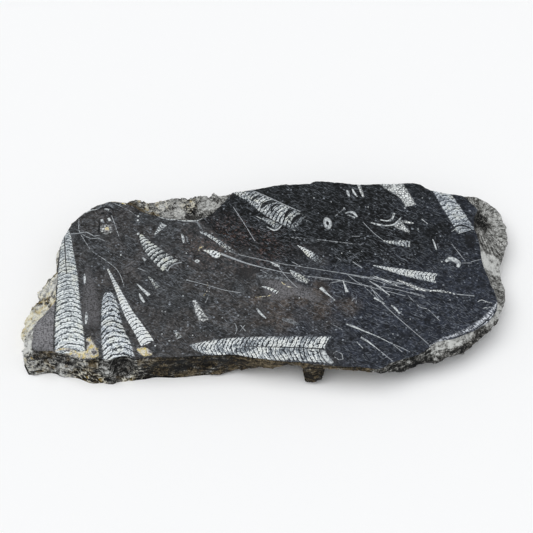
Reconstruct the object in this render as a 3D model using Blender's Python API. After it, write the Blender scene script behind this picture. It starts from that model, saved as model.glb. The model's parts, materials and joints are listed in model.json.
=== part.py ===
"""A loose slab of black limestone, cut and polished on top, with its broken natural rim left on.

The slab lies flat. Its polished face is up, and its sawn underside rests at z = 0. The fossils are flush
with the polished face, so they are colour and not shape. Lengths in this file are millimetres, and the
mesh is made in metres at the end. X runs along the slab, Y runs from its front edge to its back edge.

The rim is a closed loop of stations, listed counterclockwise from the front left corner. At each station
the stone goes from the polished edge over a broken shoulder to the brow, its widest point, then down a
side face (the lip), and in under the slab (the tuck) to the underside.
"""

import math
from dataclasses import dataclass

import bmesh
import bpy
from mathutils import Vector, noise

MM = 0.001

THICKNESS = 42.0

# The rim's samples: their spacing, and how many samples either side give the direction out of the slab.
SAMPLE_SPACING = 7.0
BEND_REACH = 4

# Where the rim's rings lie, as shares of the way over the shoulder, down the lip and in under the slab.
SHOULDER_STEPS = (0.15, 0.4, 0.7, 1.0)
LIP_STEPS = (0.3, 0.65, 1.0)
TUCK_STEPS = (0.35, 0.7, 1.0)

# The shoulder never rises over this share of its even fall, so it stays below the polished face.
LEAST_FALL_SHARE = 0.5
# A side's foot turns in at least this far. With a curve over 1, it runs in before it goes down.
LEAST_TUCK = 1.0
TUCK_CURVE = 1.5

# Broken stone: broad lumps, small chips on them, and the share of both that the polished edge follows.
LUMP_SIZE = 26.0
CHIP_SIZE = 9.0
CHIP_SHARE = 0.45
EDGE_SHARE = 0.35

# The round socket in the front face.
SOCKET_X = -175.0
SOCKET_HALF_WIDTH = 13.0
SOCKET_DEPTH = 7.0
SOCKET_FLOOR_Z = 17.0

# The groove along the square-cut front side.
LEDGE_Z = 21.0
LEDGE_HALF_HEIGHT = 5.0
LEDGE_DEPTH = 2.5


@dataclass(frozen=True)
class Station:
    """One place on the rim, with the rim's shape there.

    x, y: the polished edge.
    out: the brow's offset from the polished edge, seen from above.
    drop: the brow's depth below the polished face.
    lip: the height of the side face below the brow.
    tuck: how far the underside runs in from the brow before it reaches z = 0.
    rough: the height of the lumps on the broken surfaces.
    ledge: how deep the groove above the lowest ledge is.
    """

    x: float
    y: float
    out: tuple[float, float]
    drop: float
    lip: float
    tuck: float
    rough: float
    ledge: float = 0.0


def face(x, y, out_x, out_y, drop, flare=3.0):
    """A rough face that goes down to the underside, a little wider at its foot."""
    return Station(x, y, (out_x, out_y), drop, 36.0 - drop, -flare, 2.2)


def sawn(x, y, lip=36.0, tuck=1.5):
    """A side that was cut square and then left, with no shoulder."""
    return Station(x, y, (0.0, -1.0), 1.5, lip, tuck, 0.8, LEDGE_DEPTH)


def thin(x, y, lip=5.0, tuck=34.0):
    """A thin edge, broken away underneath."""
    return Station(x, y, (0.0, -1.0), 1.2, lip, tuck, 0.9)


def bevel(x, y, out_x, out_y, drop):
    """A steep broken slope with the stone cut away under it."""
    return Station(x, y, (out_x, out_y), drop, 4.0, 20.0, 2.0)


def shelf(x, y, out_x, out_y, drop, lip=12.0, tuck=14.0):
    """A wide broken shoulder, lower than the polished face."""
    return Station(x, y, (out_x, out_y), drop, lip, tuck, 2.6)


def rear(x, y, out_x=0.0, out_y=1.5):
    """The back edge, polished up to its arris."""
    return Station(x, y, (out_x, out_y), 1.5, 24.0, 10.0, 1.6)


RIM = (
    # Front left: a rough face.
    face(-277, -122, -10, -3, 8, flare=7),
    face(-268, -124, -3, -1, 4),
    face(-257, -124, 0, -2, 3),
    face(-246, -126.5, 0, -2, 2, flare=5),
    face(-237, -128, 0, -2, 2, flare=5),
    face(-231, -133, 0, -2, 2, flare=2),
    face(-222, -136, 0, -1, 2, flare=2),
    face(-211, -136, 0, -1, 2, flare=4),
    face(-200, -134, 0, -1, 2, flare=6),
    # The round socket of a fossil that came away.
    face(-189, -136, 0, -1, 2, flare=3),
    face(-182, -133, 0, -1, 2, flare=3),
    face(-174, -131, 0, -1, 2, flare=5),
    face(-166, -132, 0, -1, 2, flare=3),
    face(-160, -135, 0, -1, 2, flare=0),
    # Front: a side cut square.
    sawn(-142, -133),
    sawn(-96, -131),
    sawn(-60, -129, tuck=4),
    sawn(-42, -129, lip=30, tuck=10),
    sawn(-28, -132, lip=22, tuck=20),
    sawn(-13, -135, lip=19, tuck=28),
    sawn(6, -138, lip=15, tuck=32),
    # Front: a thin edge, and the stub that stands under it.
    thin(18, -139, lip=7),
    thin(33, -140),
    sawn(37, -141, tuck=8),
    sawn(47, -142, tuck=8),
    sawn(57, -143, lip=30, tuck=15),
    thin(60, -144),
    thin(77, -145.5),
    thin(100, -147),
    thin(123, -149, tuck=28),
    # Front right: a steep rough face that turns into a gentler slope.
    bevel(132, -142, 1, -3, 9),
    bevel(146, -137, 2, -3, 13),
    bevel(162, -131, 3, -5, 14),
    bevel(175, -124, 5, -7, 15),
    bevel(185, -115, 11, -11, 14),
    bevel(195, -109, 17, -10, 13),
    bevel(213, -106, 13, -8, 12),
    bevel(232, -97, 9, -6, 12),
    bevel(247, -87, 7, -4, 11),
    bevel(259, -77, 4, -2, 9),
    bevel(268, -60, 5, 1, 8),
    # Right: a wide weathered shelf.
    shelf(269, -39, 14, 6, 12),
    shelf(265, -25, 20, 7, 12),
    shelf(261, -9, 22, 7, 12),
    shelf(259, 12, 25, 4, 12),
    shelf(259, 31, 32, 5, 12),
    shelf(258, 51, 40, 12, 14),
    shelf(255, 70, 46, 13, 15),
    shelf(257, 87, 41, 11, 14),
    shelf(263, 99, 30, 11, 11),
    shelf(256, 111, 23, 8, 8),
    shelf(248, 122, 9, 3, 4),
    # Rear: polished to the edge.
    rear(233, 126),
    rear(205, 134),
    rear(193, 144),
    rear(177, 146),
    rear(147, 145),
    rear(115, 144),
    rear(86, 147),
    rear(57, 149.5),
    rear(50, 145),
    rear(30, 144),
    rear(4, 141),
    rear(-18, 136),
    rear(-40, 131),
    rear(-51, 129),
    # Rear left: a shallow scallop broken out of the polished face.
    shelf(-60, 116, -3, 15, 6),
    shelf(-71, 100, -5, 36, 9),
    shelf(-82, 87, -8, 50, 11),
    shelf(-97, 81, -8, 56, 12),
    shelf(-116, 82, -4, 50, 11),
    shelf(-138, 85, 0, 41, 10),
    shelf(-156, 90, 0, 35, 9),
    shelf(-169, 97, 0, 26, 7),
    shelf(-179, 105, -3, 13, 4),
    # Rear left corner: polished to the edge.
    rear(-191, 111),
    rear(-205, 114, -0.5, 1.4),
    rear(-218, 110, -1.0, 1.1),
    rear(-231, 101, -1.2, 0.9),
    rear(-245, 87, -1.3, 0.8),
    rear(-256, 70, -1.4, 0.5),
    rear(-262, 52, -1.5, 0.3),
    rear(-265, 33, -1.5, 0.1),
    rear(-265, 16, -1.5, 0.0),
    # Left: a weathered shelf.
    shelf(-265, 2, -3, 0, 3),
    shelf(-263, -14, -16, 5, 8),
    shelf(-262, -33, -26, 10, 12),
    shelf(-261, -50, -27, 9, 13),
    shelf(-269, -65, -23, 9, 13),
    shelf(-277, -78, -20, 10, 13),
    shelf(-282, -92, -18, 9, 13),
    shelf(-281, -105, -16, 5, 12, lip=20, tuck=0),
    shelf(-281, -115, -14, 2, 11, lip=24, tuck=-4),
)


@dataclass(frozen=True)
class Column:
    """The rim's shape at one sample of the loop, worked out between two stations."""

    edge: Vector
    brow: Vector
    outward: Vector
    station: Station


def blend(first, second, share):
    return first + (second - first) * share


def curve(before, start, end, after, share):
    """The point between start and end on the Catmull-Rom curve through four values."""
    linear = (end - before) * share
    square = (2 * before - 5 * start + 4 * end - after) * share**2
    cube = (3 * start - before - 3 * end + after) * share**3
    return start + (linear + square + cube) / 2


def station_between(around, share):
    """The station at a share of the way from the second to the third of four neighbours."""
    before, start, end, after = around
    return Station(
        x=curve(before.x, start.x, end.x, after.x, share),
        y=curve(before.y, start.y, end.y, after.y, share),
        out=tuple(blend(a, b, share) for a, b in zip(start.out, end.out)),
        drop=blend(start.drop, end.drop, share),
        lip=blend(start.lip, end.lip, share),
        tuck=blend(start.tuck, end.tuck, share),
        rough=blend(start.rough, end.rough, share),
        ledge=blend(start.ledge, end.ledge, share),
    )


def sampled_rim():
    """The whole loop as stations, SAMPLE_SPACING apart or a little less."""
    samples = []
    count = len(RIM)
    for i, start in enumerate(RIM):
        end = RIM[(i + 1) % count]
        around = (RIM[i - 1], start, end, RIM[(i + 2) % count])
        steps = math.ceil(math.hypot(end.x - start.x, end.y - start.y) / SAMPLE_SPACING)
        samples += [station_between(around, step / steps) for step in range(steps)]
    return samples


def columns():
    """The loop's samples with their brow, and with the direction that faces out of the slab there."""
    samples = sampled_rim()
    brows = [Vector((s.x + s.out[0], s.y + s.out[1], 0)) for s in samples]
    count = len(samples)
    found = []
    for i, (sample, brow) in enumerate(zip(samples, brows)):
        along = brows[(i + BEND_REACH) % count] - brows[i - BEND_REACH]
        outward = Vector((along.y, -along.x, 0)).normalized()
        found.append(Column(Vector((sample.x, sample.y, 0)), brow, outward, sample))
    return found


def roughness(point, height):
    """A signed height for a broken surface: broad lumps with small chips on them."""
    lump = noise.noise(point / LUMP_SIZE)
    chip = noise.noise(point / CHIP_SIZE + Vector((9, 4, 2)))
    return height * (lump + CHIP_SHARE * chip) * 2


def socket_depth(point):
    """How far the round socket goes into the front face at this point."""
    across = (point.x - SOCKET_X) / SOCKET_HALF_WIDTH
    if abs(across) >= 1 or point.y > 0 or point.z < SOCKET_FLOOR_Z:
        return 0.0
    return SOCKET_DEPTH * math.sqrt(1 - across**2)


def ledge_depth(point, station):
    """How far the groove over the lowest ledge goes into the side at this point."""
    return station.ledge * max(0.0, 1 - abs(point.z - LEDGE_Z) / LEDGE_HALF_HEIGHT)


def broken(point, column):
    """The point moved out or in by the rim's roughness, its socket and its ledge."""
    moved = roughness(point, column.station.rough)
    moved -= socket_depth(point) + ledge_depth(point, column.station)
    return point + column.outward * moved


def rim_points(column):
    """The rim's points at one column, from the polished edge down to the underside."""
    station = column.station
    edge_shift = roughness(column.edge, station.rough * EDGE_SHARE)
    edge = column.edge + column.outward * edge_shift
    top = Vector((0, 0, THICKNESS))
    points = [edge + top]
    for step in SHOULDER_STEPS:
        fall = station.drop * (1 - (1 - step) ** 2)
        point = edge.lerp(column.brow, step) + top
        lump = roughness(point, station.rough) * step
        point.z -= max(fall - lump, fall * LEAST_FALL_SHARE)
        points.append(point)
    brow = points[-1]
    lip_foot = max(brow.z - station.lip, 0.0)
    for step in LIP_STEPS:
        at = Vector((brow.x, brow.y, blend(brow.z, lip_foot, step)))
        flare = -min(station.tuck, 0.0) * step
        points.append(broken(at + column.outward * flare, column))
    foot = points[-1]
    for step in TUCK_STEPS:
        inward = max(station.tuck, LEAST_TUCK) * step
        at = foot - column.outward * inward
        at.z = lip_foot * (1 - step**TUCK_CURVE)
        points.append(at)
    return points


def slab_mesh():
    """The slab as one closed mesh: the polished face, the rings of the rim and the underside."""
    shape = bmesh.new()
    rings = [[shape.verts.new(p * MM) for p in rim_points(column)] for column in columns()]
    for i, ring in enumerate(rings):
        following = rings[(i + 1) % len(rings)]
        for level in range(len(ring) - 1):
            corners = (ring[level], ring[level + 1], following[level + 1], following[level])
            shape.faces.new(corners)
    shape.faces.new([ring[0] for ring in rings])
    shape.faces.new([ring[-1] for ring in reversed(rings)])
    bmesh.ops.triangulate(shape, faces=shape.faces[:])
    mesh = bpy.data.meshes.new("fossil_slab")
    shape.to_mesh(mesh)
    shape.free()
    return mesh


def black_limestone():
    """Black limestone with a polish."""
    material = bpy.data.materials.new("polished_black_limestone")
    material.use_nodes = True
    shader = material.node_tree.nodes["Principled BSDF"]
    shader.inputs["Base Color"].default_value = (0.045, 0.046, 0.050, 1)
    shader.inputs["Roughness"].default_value = 0.25
    shader.inputs["Metallic"].default_value = 0.0
    return material


def main():
    for obj in list(bpy.data.objects):
        bpy.data.objects.remove(obj)
    mesh = slab_mesh()
    mesh.materials.append(black_limestone())
    slab = bpy.data.objects.new("fossil_slab", mesh)
    bpy.context.scene.collection.objects.link(slab)


if __name__ == "__main__":
    main()
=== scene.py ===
"""The looks of a polished slab of black limestone with white calcite shells in its face.

The slab is one piece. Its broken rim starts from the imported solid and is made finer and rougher. Its
polished face is cut flat, and each fossil is an inlay: a stretch of that flat face with a finish of its
own, placed by a smooth spine or an outline. Sizes are millimetres on the slab, and the mesh is turned to
metres when it is made. X runs along the slab, Y from its front edge to its back edge.
"""

import json
import logging
import math
from dataclasses import dataclass, field
from enum import Enum
from functools import cached_property

import bmesh
import bpy
import numpy as np
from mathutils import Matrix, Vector, noise
from mathutils.geometry import delaunay_2d_cdt
from mathutils.kdtree import KDTree

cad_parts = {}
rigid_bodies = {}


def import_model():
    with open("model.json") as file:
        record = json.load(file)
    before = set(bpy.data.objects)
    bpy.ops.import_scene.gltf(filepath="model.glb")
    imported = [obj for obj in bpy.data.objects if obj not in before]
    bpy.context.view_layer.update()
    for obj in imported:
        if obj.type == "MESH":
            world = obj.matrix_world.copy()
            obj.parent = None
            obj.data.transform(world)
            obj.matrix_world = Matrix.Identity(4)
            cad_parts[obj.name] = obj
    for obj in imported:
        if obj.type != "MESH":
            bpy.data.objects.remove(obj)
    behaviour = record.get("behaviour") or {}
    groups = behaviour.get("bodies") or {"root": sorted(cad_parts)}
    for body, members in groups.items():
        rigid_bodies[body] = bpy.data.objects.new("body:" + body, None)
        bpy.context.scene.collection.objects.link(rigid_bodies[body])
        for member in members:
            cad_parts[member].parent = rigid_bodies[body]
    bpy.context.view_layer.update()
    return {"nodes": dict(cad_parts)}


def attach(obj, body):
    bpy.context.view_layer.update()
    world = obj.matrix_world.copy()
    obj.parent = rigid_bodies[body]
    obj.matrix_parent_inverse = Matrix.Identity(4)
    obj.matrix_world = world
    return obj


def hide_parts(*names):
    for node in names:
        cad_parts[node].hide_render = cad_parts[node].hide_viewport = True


for left_over in list(bpy.data.objects):
    bpy.data.objects.remove(left_over)
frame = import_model()

LOG = logging.getLogger("fossil_slab")

MM = 0.001
TO_MM = 1000.0
SLAB_NODE = "fossil_slab"
PLACE = "place"
# The rim's stains, with the painted shade of its facets in the alpha.
STAINS_AND_SHADE = "stains_and_shade"
TONE = "tone"

Point = tuple[float, float]
Spot = tuple[float, float, float]
Tree = bpy.types.NodeTree
Node = bpy.types.Node
Socket = bpy.types.NodeSocket
Material = bpy.types.Material
Source = Node | Socket | float | str | tuple
Skin = bmesh.types.BMesh
Vert = bmesh.types.BMVert
Face = bmesh.types.BMFace


# ---------------------------------------------------------------------------------------------------------
# Colours and nodes
# ---------------------------------------------------------------------------------------------------------


def linear(hex_colour: str) -> tuple[float, float, float, float]:
    """Turns an sRGB hex colour into the linear colour that a shader takes.

    Args:
        hex_colour: The colour as #RRGGBB.

    Returns:
        Linear red, green and blue, and an alpha of 1.
    """
    shares = [int(hex_colour[i : i + 2], 16) / 255 for i in (1, 3, 5)]
    red, green, blue = [s / 12.92 if s <= 0.04045 else ((s + 0.055) / 1.055) ** 2.4 for s in shares]
    return (red, green, blue, 1.0)


def add(tree: Tree, kind: str, links: dict[int | str, Source] | None = None, **settings: object) -> Node:
    """Adds a node with its settings and links.

    Args:
        tree: The node tree that gets the node.
        kind: The node's type, without the ShaderNode that most types start with.
        links: For each input, by name or number: a value, a hex colour, a socket, or a node, whose first
            output is used.
        settings: The node's own properties. "stops" fills a colour ramp with positions and hex colours.

    Returns:
        The node.
    """
    node = tree.nodes.new(kind if kind.startswith("NodeGroup") else "ShaderNode" + kind)
    stops = settings.pop("stops", None)
    for name, value in settings.items():
        setattr(node, name, value)
    if stops:
        elements = node.color_ramp.elements
        while len(elements) < len(stops):
            elements.new(0.5)
        for element, (position, colour) in zip(elements, stops):
            element.position = position
            element.color = linear(colour)
    for key, source in (links or {}).items():
        if isinstance(key, int):
            socket = node.inputs[key]
        else:
            socket = next(s for s in node.inputs if s.enabled and s.name == key)
        if isinstance(source, Node):
            source = next(s for s in source.outputs if s.enabled)
        if isinstance(source, Socket):
            tree.links.new(source, socket)
        else:
            socket.default_value = linear(source) if isinstance(source, str) else source
    return node


def per_mm(size: float) -> float:
    """The scale that makes a texture's features this many millimetres wide."""
    return 1.0 / size


@dataclass
class Canvas:
    """A node tree, with the steps that the finishes share as short calls. Each returns its last node."""

    tree: Tree

    @cached_property
    def place(self) -> Node:
        """The place on the slab, in millimetres."""
        return self.vector("SCALE", self.add("TexCoord").outputs["Object"], Scale=TO_MM)

    def add(self, kind: str, links: dict[int | str, Source] | None = None, **settings: object) -> Node:
        """Adds a node to this tree."""
        return add(self.tree, kind, links, **settings)

    def maths(self, how: str, *values: Source) -> Node:
        """Works with up to three values."""
        return self.add("Math", dict(enumerate(values)), operation=how)

    def times(self, first: Source, *others: Source) -> Node | Source:
        """Multiplies values."""
        for other in others:
            first = self.maths("MULTIPLY", first, other)
        return first

    def vector(self, how: str, *values: Source, **named: Source) -> Node:
        """Works with vectors."""
        return self.add("VectorMath", {**dict(enumerate(values)), **named}, operation=how)

    def parts(self, value: Source) -> tuple[Socket, ...]:
        """A vector's x, y and z."""
        return tuple(self.add("SeparateXYZ", {0: value}).outputs)

    def flat(self, x: Source, y: Source) -> Node:
        """A vector of x and y."""
        return self.add("CombineXYZ", {"X": x, "Y": y})

    def away_from(self, middle: Point, reach: Point = (1.0, 1.0)) -> Node:
        """The level offset from a middle, as a share of a reach."""
        away = self.vector("SUBTRACT", self.place, (*middle, 0.0))
        return self.vector("MULTIPLY", away, (1.0 / reach[0], 1.0 / reach[1], 0.0))

    def noise(self, size: float, detail: float = 2.0, place: Source | None = None, **more: Source) -> Node:
        """Soft noise with clouds of this width in millimetres."""
        at = place or self.place
        return self.add("TexNoise", {"Vector": at, "Scale": per_mm(size), "Detail": detail, **more})

    def walls(self, size: float, place: Source) -> Node:
        """How far a place is from the walls between cells of this width."""
        return self.add("TexVoronoi", {"Vector": place, "Scale": per_mm(size)}, feature="DISTANCE_TO_EDGE")

    def turned(self, degrees: float, **settings: object) -> Node:
        """The place, turned round an axis."""
        return self.add("VectorRotate", {"Vector": self.place, "Angle": math.radians(degrees)}, **settings)

    def fit(
        self, value: Source, start: float = 0, end: float = 1, low: float = 0, high: float = 1, *,
        smooth: bool = False,
    ) -> Node:
        """Turns the range from start to end into the range from low to high, and holds its ends.

        Args:
            value: What is turned.
            start: The value that gives low.
            end: The value that gives high.
            low: The result at start.
            high: The result at end.
            smooth: Whether it eases in and out.

        Returns:
            The node whose output is the result.
        """
        links = {"Value": value, "From Min": start, "From Max": end, "To Min": low, "To Max": high}
        return self.add("MapRange", links, interpolation_type="SMOOTHSTEP" if smooth else "LINEAR")

    def spread(self, value: Source, low: float, high: float, reach: float = 0.2) -> Node:
        """Spreads the middle of a noise out between two values."""
        return self.fit(value, 0.5 - reach, 0.5 + reach, low, high)

    def ramp(self, value: Source, *stops: tuple[float, str]) -> Node:
        """Turns a value into colours."""
        return self.add("ValToRGB", {0: value}, stops=stops)

    def mix(self, share: Source, first: Source, second: Source, **settings: object) -> Node:
        """Blends two colours."""
        return self.add("Mix", {"Factor": share, "A": first, "B": second}, data_type="RGBA", **settings)

    def bump(self, height: Source, strength: float, distance: float) -> Node:
        """A fine unevenness, with its height in metres."""
        return self.add("Bump", {"Height": height, "Strength": strength, "Distance": distance})

    def surface(self, colour: Source, roughness: Source, **more: Source) -> None:
        """Ends a material with its shader."""
        shader = self.add("BsdfPrincipled", {"Base Color": colour, "Roughness": roughness, **more})
        self.add("OutputMaterial", {"Surface": shader})

    def polish(self, colour: Source, roughness: Source, height: Source) -> None:
        """Ends a material of the polished face."""
        self.surface(colour, roughness, Normal=self.bump(height, 0.05, 0.0004), IOR=1.45)


def new_material(name: str) -> tuple[Material, Tree]:
    """Makes a node material.

    Args:
        name: The material's name.

    Returns:
        The material and its node tree, which holds nothing yet.
    """
    material = bpy.data.materials.new(name)
    material.use_nodes = True
    material.node_tree.nodes.clear()
    return material, material.node_tree


@dataclass
class InlayCanvas(Canvas):
    """The nodes of an inlay's material, which fades into the polished stone at its outline.

    ground: the polished stone's node group.
    """

    ground: Tree

    def __post_init__(self) -> None:
        """Reads the stone, and the inlay's place, cover and brightness, which the face's corners hold."""
        self.stone = self.add("Group", node_tree=self.ground).outputs
        corner = self.add("Attribute", attribute_name=PLACE).outputs
        self.phase, self.across, self.strength = self.parts(corner["Vector"])
        self.light = corner["Alpha"]
        self.side = self.maths("ABSOLUTE", self.across)

    def mask(self, ragged: Source, fray: float, patchy: float = 0.35) -> Node:
        """Fades the inlay out at its ragged outline and where it is weak.

        Args:
            ragged: The fine noise that makes the outline ragged.
            fray: How ragged the outline is.
            patchy: How much a weak inlay breaks into patches.

        Returns:
            The node whose output is the inlay's share.
        """
        edge = self.fit(self.maths("ADD", self.side, self.spread(ragged, 0.0, fray)), 1.0, 0.92)
        shown = self.maths("ADD", self.strength, self.spread(ragged, -patchy, patchy))
        return self.times(edge, self.fit(shown, 0.65 - patchy, 0.65))

    def shown(self, mask: Source, colour: Source) -> Node:
        """The inlay's colour over the stone's."""
        return self.mix(mask, self.stone["Color"], colour)


class Stone(Enum):
    """The slab's finishes, in the order of its material slots."""

    LIMESTONE = "polished_black_limestone"
    RIM = "weathered_limestone_rim"
    UNDERSIDE = "sawn_limestone_underside"
    VEIN = "calcite_hairline_vein"
    FRAGMENT = "calcite_shell_fragment"
    HOLLOW = "calcite_shell_ring"
    MUD = "black_mud_filling"
    HAZE = "grey_shell_ghost"
    CELLS = "calcite_cell_net"
    BRUISE = "bruised_polish"
    STAIN = "mauve_iron_stain"
    FILLER = "cream_and_ochre_calcite"
    GREAT_LEFT = "calcite_great_left_cone"
    BLUNT_LEFT = "calcite_blunt_left_cone"
    SLENDER_LEFT = "calcite_slender_left_cone"
    SHORT_LEFT = "calcite_short_left_cone"
    GREAT_REAR = "calcite_great_rear_cone"
    GREAT_FRONT = "calcite_great_front_cone"
    CORNER_REAR = "calcite_rear_corner_cone"
    RIGHT_DART = "calcite_right_dart"
    SMALL_DART = "calcite_small_dart"


# ---------------------------------------------------------------------------------------------------------
# Finishes
# ---------------------------------------------------------------------------------------------------------


@dataclass(frozen=True)
class PolishedLimestone:
    """Black limestone, sawn and polished. The polish makes it dark and clear, with a soft gloss.

    The stone is warmer and browner at the left, blue-black at the right, and blackest in a field at the
    back, whose left border is a sharp angle. Pale dust of broken shell is scattered through all of it.
    """

    warm: str = "#313335"
    navy: str = "#22262f"
    black: str = "#080b0d"
    brown: str = "#433d39"
    rust: str = "#523424"
    fleck: str = "#a0a7b0"
    navy_reach: Point = (-40.0, 110.0)
    field_corner: Point = (-92.0, 81.0)
    field_slope: float = 0.93
    field_foot: Point = (-8.0, 34.0)
    field_right: Point = (250.0, 150.0)
    brown_centre: Point = (32.0, -54.0)
    brown_reach: Point = (80.0, 45.0)
    rust_centre: Point = (-45.0, 42.0)
    rust_reach: Point = (85.0, 55.0)
    broad_size: float = 45.0
    blotch_size: float = 34.0
    gather_size: float = 20.0
    cloud_size: float = 14.0
    mottle_size: float = 5.5
    fleck_size: float = 3.8
    fleck_bend: float = 3.0
    grain_size: float = 2.4
    scratches: tuple[Spot, ...] = ((26.0, 16.0, 0.0), (50.0, 11.0, 40.0), (-14.0, 8.0, 90.0))
    gloss_roughness: float = 0.3

    def group(self) -> Tree:
        """Builds the stone as a node group, which the inlays' materials fade into.

        Returns:
            A group with the outputs Color, Roughness and Height.
        """
        tree = bpy.data.node_groups.new("polished_limestone", "ShaderNodeTree")
        for name, kind in (("Color", "Color"), ("Roughness", "Float"), ("Height", "Float")):
            tree.interface.new_socket(name=name, in_out="OUTPUT", socket_type=f"NodeSocket{kind}")
        nodes = Canvas(tree)
        broad, grain = nodes.noise(self.broad_size, 3.0), nodes.noise(self.grain_size, 3.0)
        cloud, mottle = nodes.noise(self.cloud_size, 4.0), nodes.noise(self.mottle_size, 3.0)
        shade = nodes.times(nodes.spread(cloud, 0.62, 1.38), nodes.spread(mottle, 0.5, 1.5))
        shade = nodes.times(shade, nodes.spread(grain, 0.2, 1.8))
        colour = nodes.vector("SCALE", self._zones(nodes, broad, grain), Scale=shade)
        marks = nodes.maths("MAXIMUM", self._flecks(nodes, grain), self._scratches(nodes, broad))
        colour = nodes.mix(marks, colour, self.fleck)
        rough = nodes.fit(cloud, low=self.gloss_roughness - 0.05, high=self.gloss_roughness + 0.12)
        nodes.add("NodeGroupOutput", {"Color": colour, "Roughness": rough, "Height": grain})
        return tree

    def _oval(self, nodes: Canvas, centre: Point, reach: Point, broad: Node) -> Node:
        """The share of a soft oval patch, whose border the slow noise bends."""
        far = nodes.vector("LENGTH", nodes.away_from(centre, reach)).outputs["Value"]
        return nodes.fit(nodes.maths("ADD", far, nodes.spread(broad, -0.4, 0.4)), 1.1, 0.5, smooth=True)

    def _zones(self, nodes: Canvas, broad: Node, grain: Node) -> Node:
        """Blends the stone's five colours over the face.

        Args:
            nodes: The group's nodes.
            broad: The slow noise that bends the zones.
            grain: The fine noise that roughens the black field's border.

        Returns:
            The node whose output is the colour.
        """
        x, y, _ = nodes.parts(nodes.place)
        blotches = nodes.fit(nodes.noise(self.blotch_size, 5.0), 0.45, 0.54, 0.25)
        at = nodes.maths("ADD", x, nodes.spread(broad, -45.0, 45.0))
        navy = nodes.fit(at, *self.navy_reach, smooth=True)
        colour = nodes.mix(navy, self.warm, self.navy)
        brown = self._oval(nodes, self.brown_centre, self.brown_reach, broad)
        for share in (brown, nodes.fit(navy, low=0.4, high=0.0)):
            colour = nodes.mix(nodes.times(share, blotches), colour, self.brown)
        off = nodes.maths("ABSOLUTE", nodes.maths("SUBTRACT", y, self.field_corner[1]))
        border = nodes.maths("MULTIPLY_ADD", off, self.field_slope, self.field_corner[0])
        inside = nodes.maths("ADD", nodes.maths("SUBTRACT", x, border), nodes.spread(grain, -2.5, 2.5))
        left = nodes.fit(inside, -1.0, 2.5)
        down = nodes.maths("ADD", y, nodes.spread(broad, -26.0, 26.0))
        foot = nodes.fit(down, *self.field_foot, smooth=True)
        right = nodes.fit(at, *self.field_right, low=0.25, smooth=True)
        colour = nodes.mix(nodes.times(left, foot, right), colour, self.black)
        rust = self._oval(nodes, self.rust_centre, self.rust_reach, broad)
        rust = nodes.times(rust, nodes.fit(grain, 0.5, 0.68, high=0.9), nodes.spread(broad, 0.0, 1.0))
        return nodes.mix(rust, colour, self.rust)

    def _flecks(self, nodes: Canvas, grain: Node) -> Node:
        """Scatters small pale calcite flecks, and a finer dust that follows the fine noise.

        Args:
            nodes: The group's nodes.
            grain: The fine noise.

        Returns:
            The node whose output is their share.
        """
        bend, reach = nodes.noise(self.fleck_bend).outputs["Color"], (self.fleck_bend, self.fleck_bend, 0.0)
        bent = nodes.vector("MULTIPLY_ADD", bend, reach, nodes.place)
        cells = nodes.add("TexVoronoi", {"Vector": bent, "Scale": per_mm(self.fleck_size)}).outputs
        size, chance, _ = nodes.add("SeparateColor", {0: cells["Color"]}).outputs
        near = nodes.maths("SUBTRACT", nodes.fit(size, 0.45, 1.0, high=0.4), cells["Distance"])
        spots = nodes.times(nodes.fit(near, 0.0, 0.1, high=0.75), chance)
        both = nodes.maths("MAXIMUM", spots, nodes.fit(grain, 0.6, 0.74, high=0.36))
        return nodes.times(both, nodes.spread(nodes.noise(self.gather_size, 3.0), 0.25, 1.5))

    def _scratches(self, nodes: Canvas, broad: Node) -> Node:
        """Draws faint hairlines, long and thin, that lean with the larger veins.

        Args:
            nodes: The group's nodes.
            broad: The slow noise that gathers them.

        Returns:
            The node whose output is their share.
        """
        best: Source = 0.0
        for turn, length, seed in self.scratches:
            slim = (per_mm(length), per_mm(1.0), 0.0)
            stretched = nodes.vector("MULTIPLY_ADD", nodes.turned(turn), slim, (0.0, 0.0, seed))
            share = nodes.fit(nodes.noise(1.0, 1.0, stretched), 0.62, 0.74, high=0.55)
            best = nodes.maths("MAXIMUM", share, best)
        return nodes.times(best, nodes.spread(broad, 0.3, 1.2))

    def material(self, ground: Tree) -> Material:
        """Builds the plain polished stone.

        Args:
            ground: The stone's node group.

        Returns:
            The material.
        """
        material, tree = new_material(Stone.LIMESTONE.value)
        nodes = Canvas(tree)
        stone = nodes.add("Group", node_tree=ground).outputs
        nodes.polish(stone["Color"], stone["Roughness"], stone["Height"])
        return material


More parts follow.
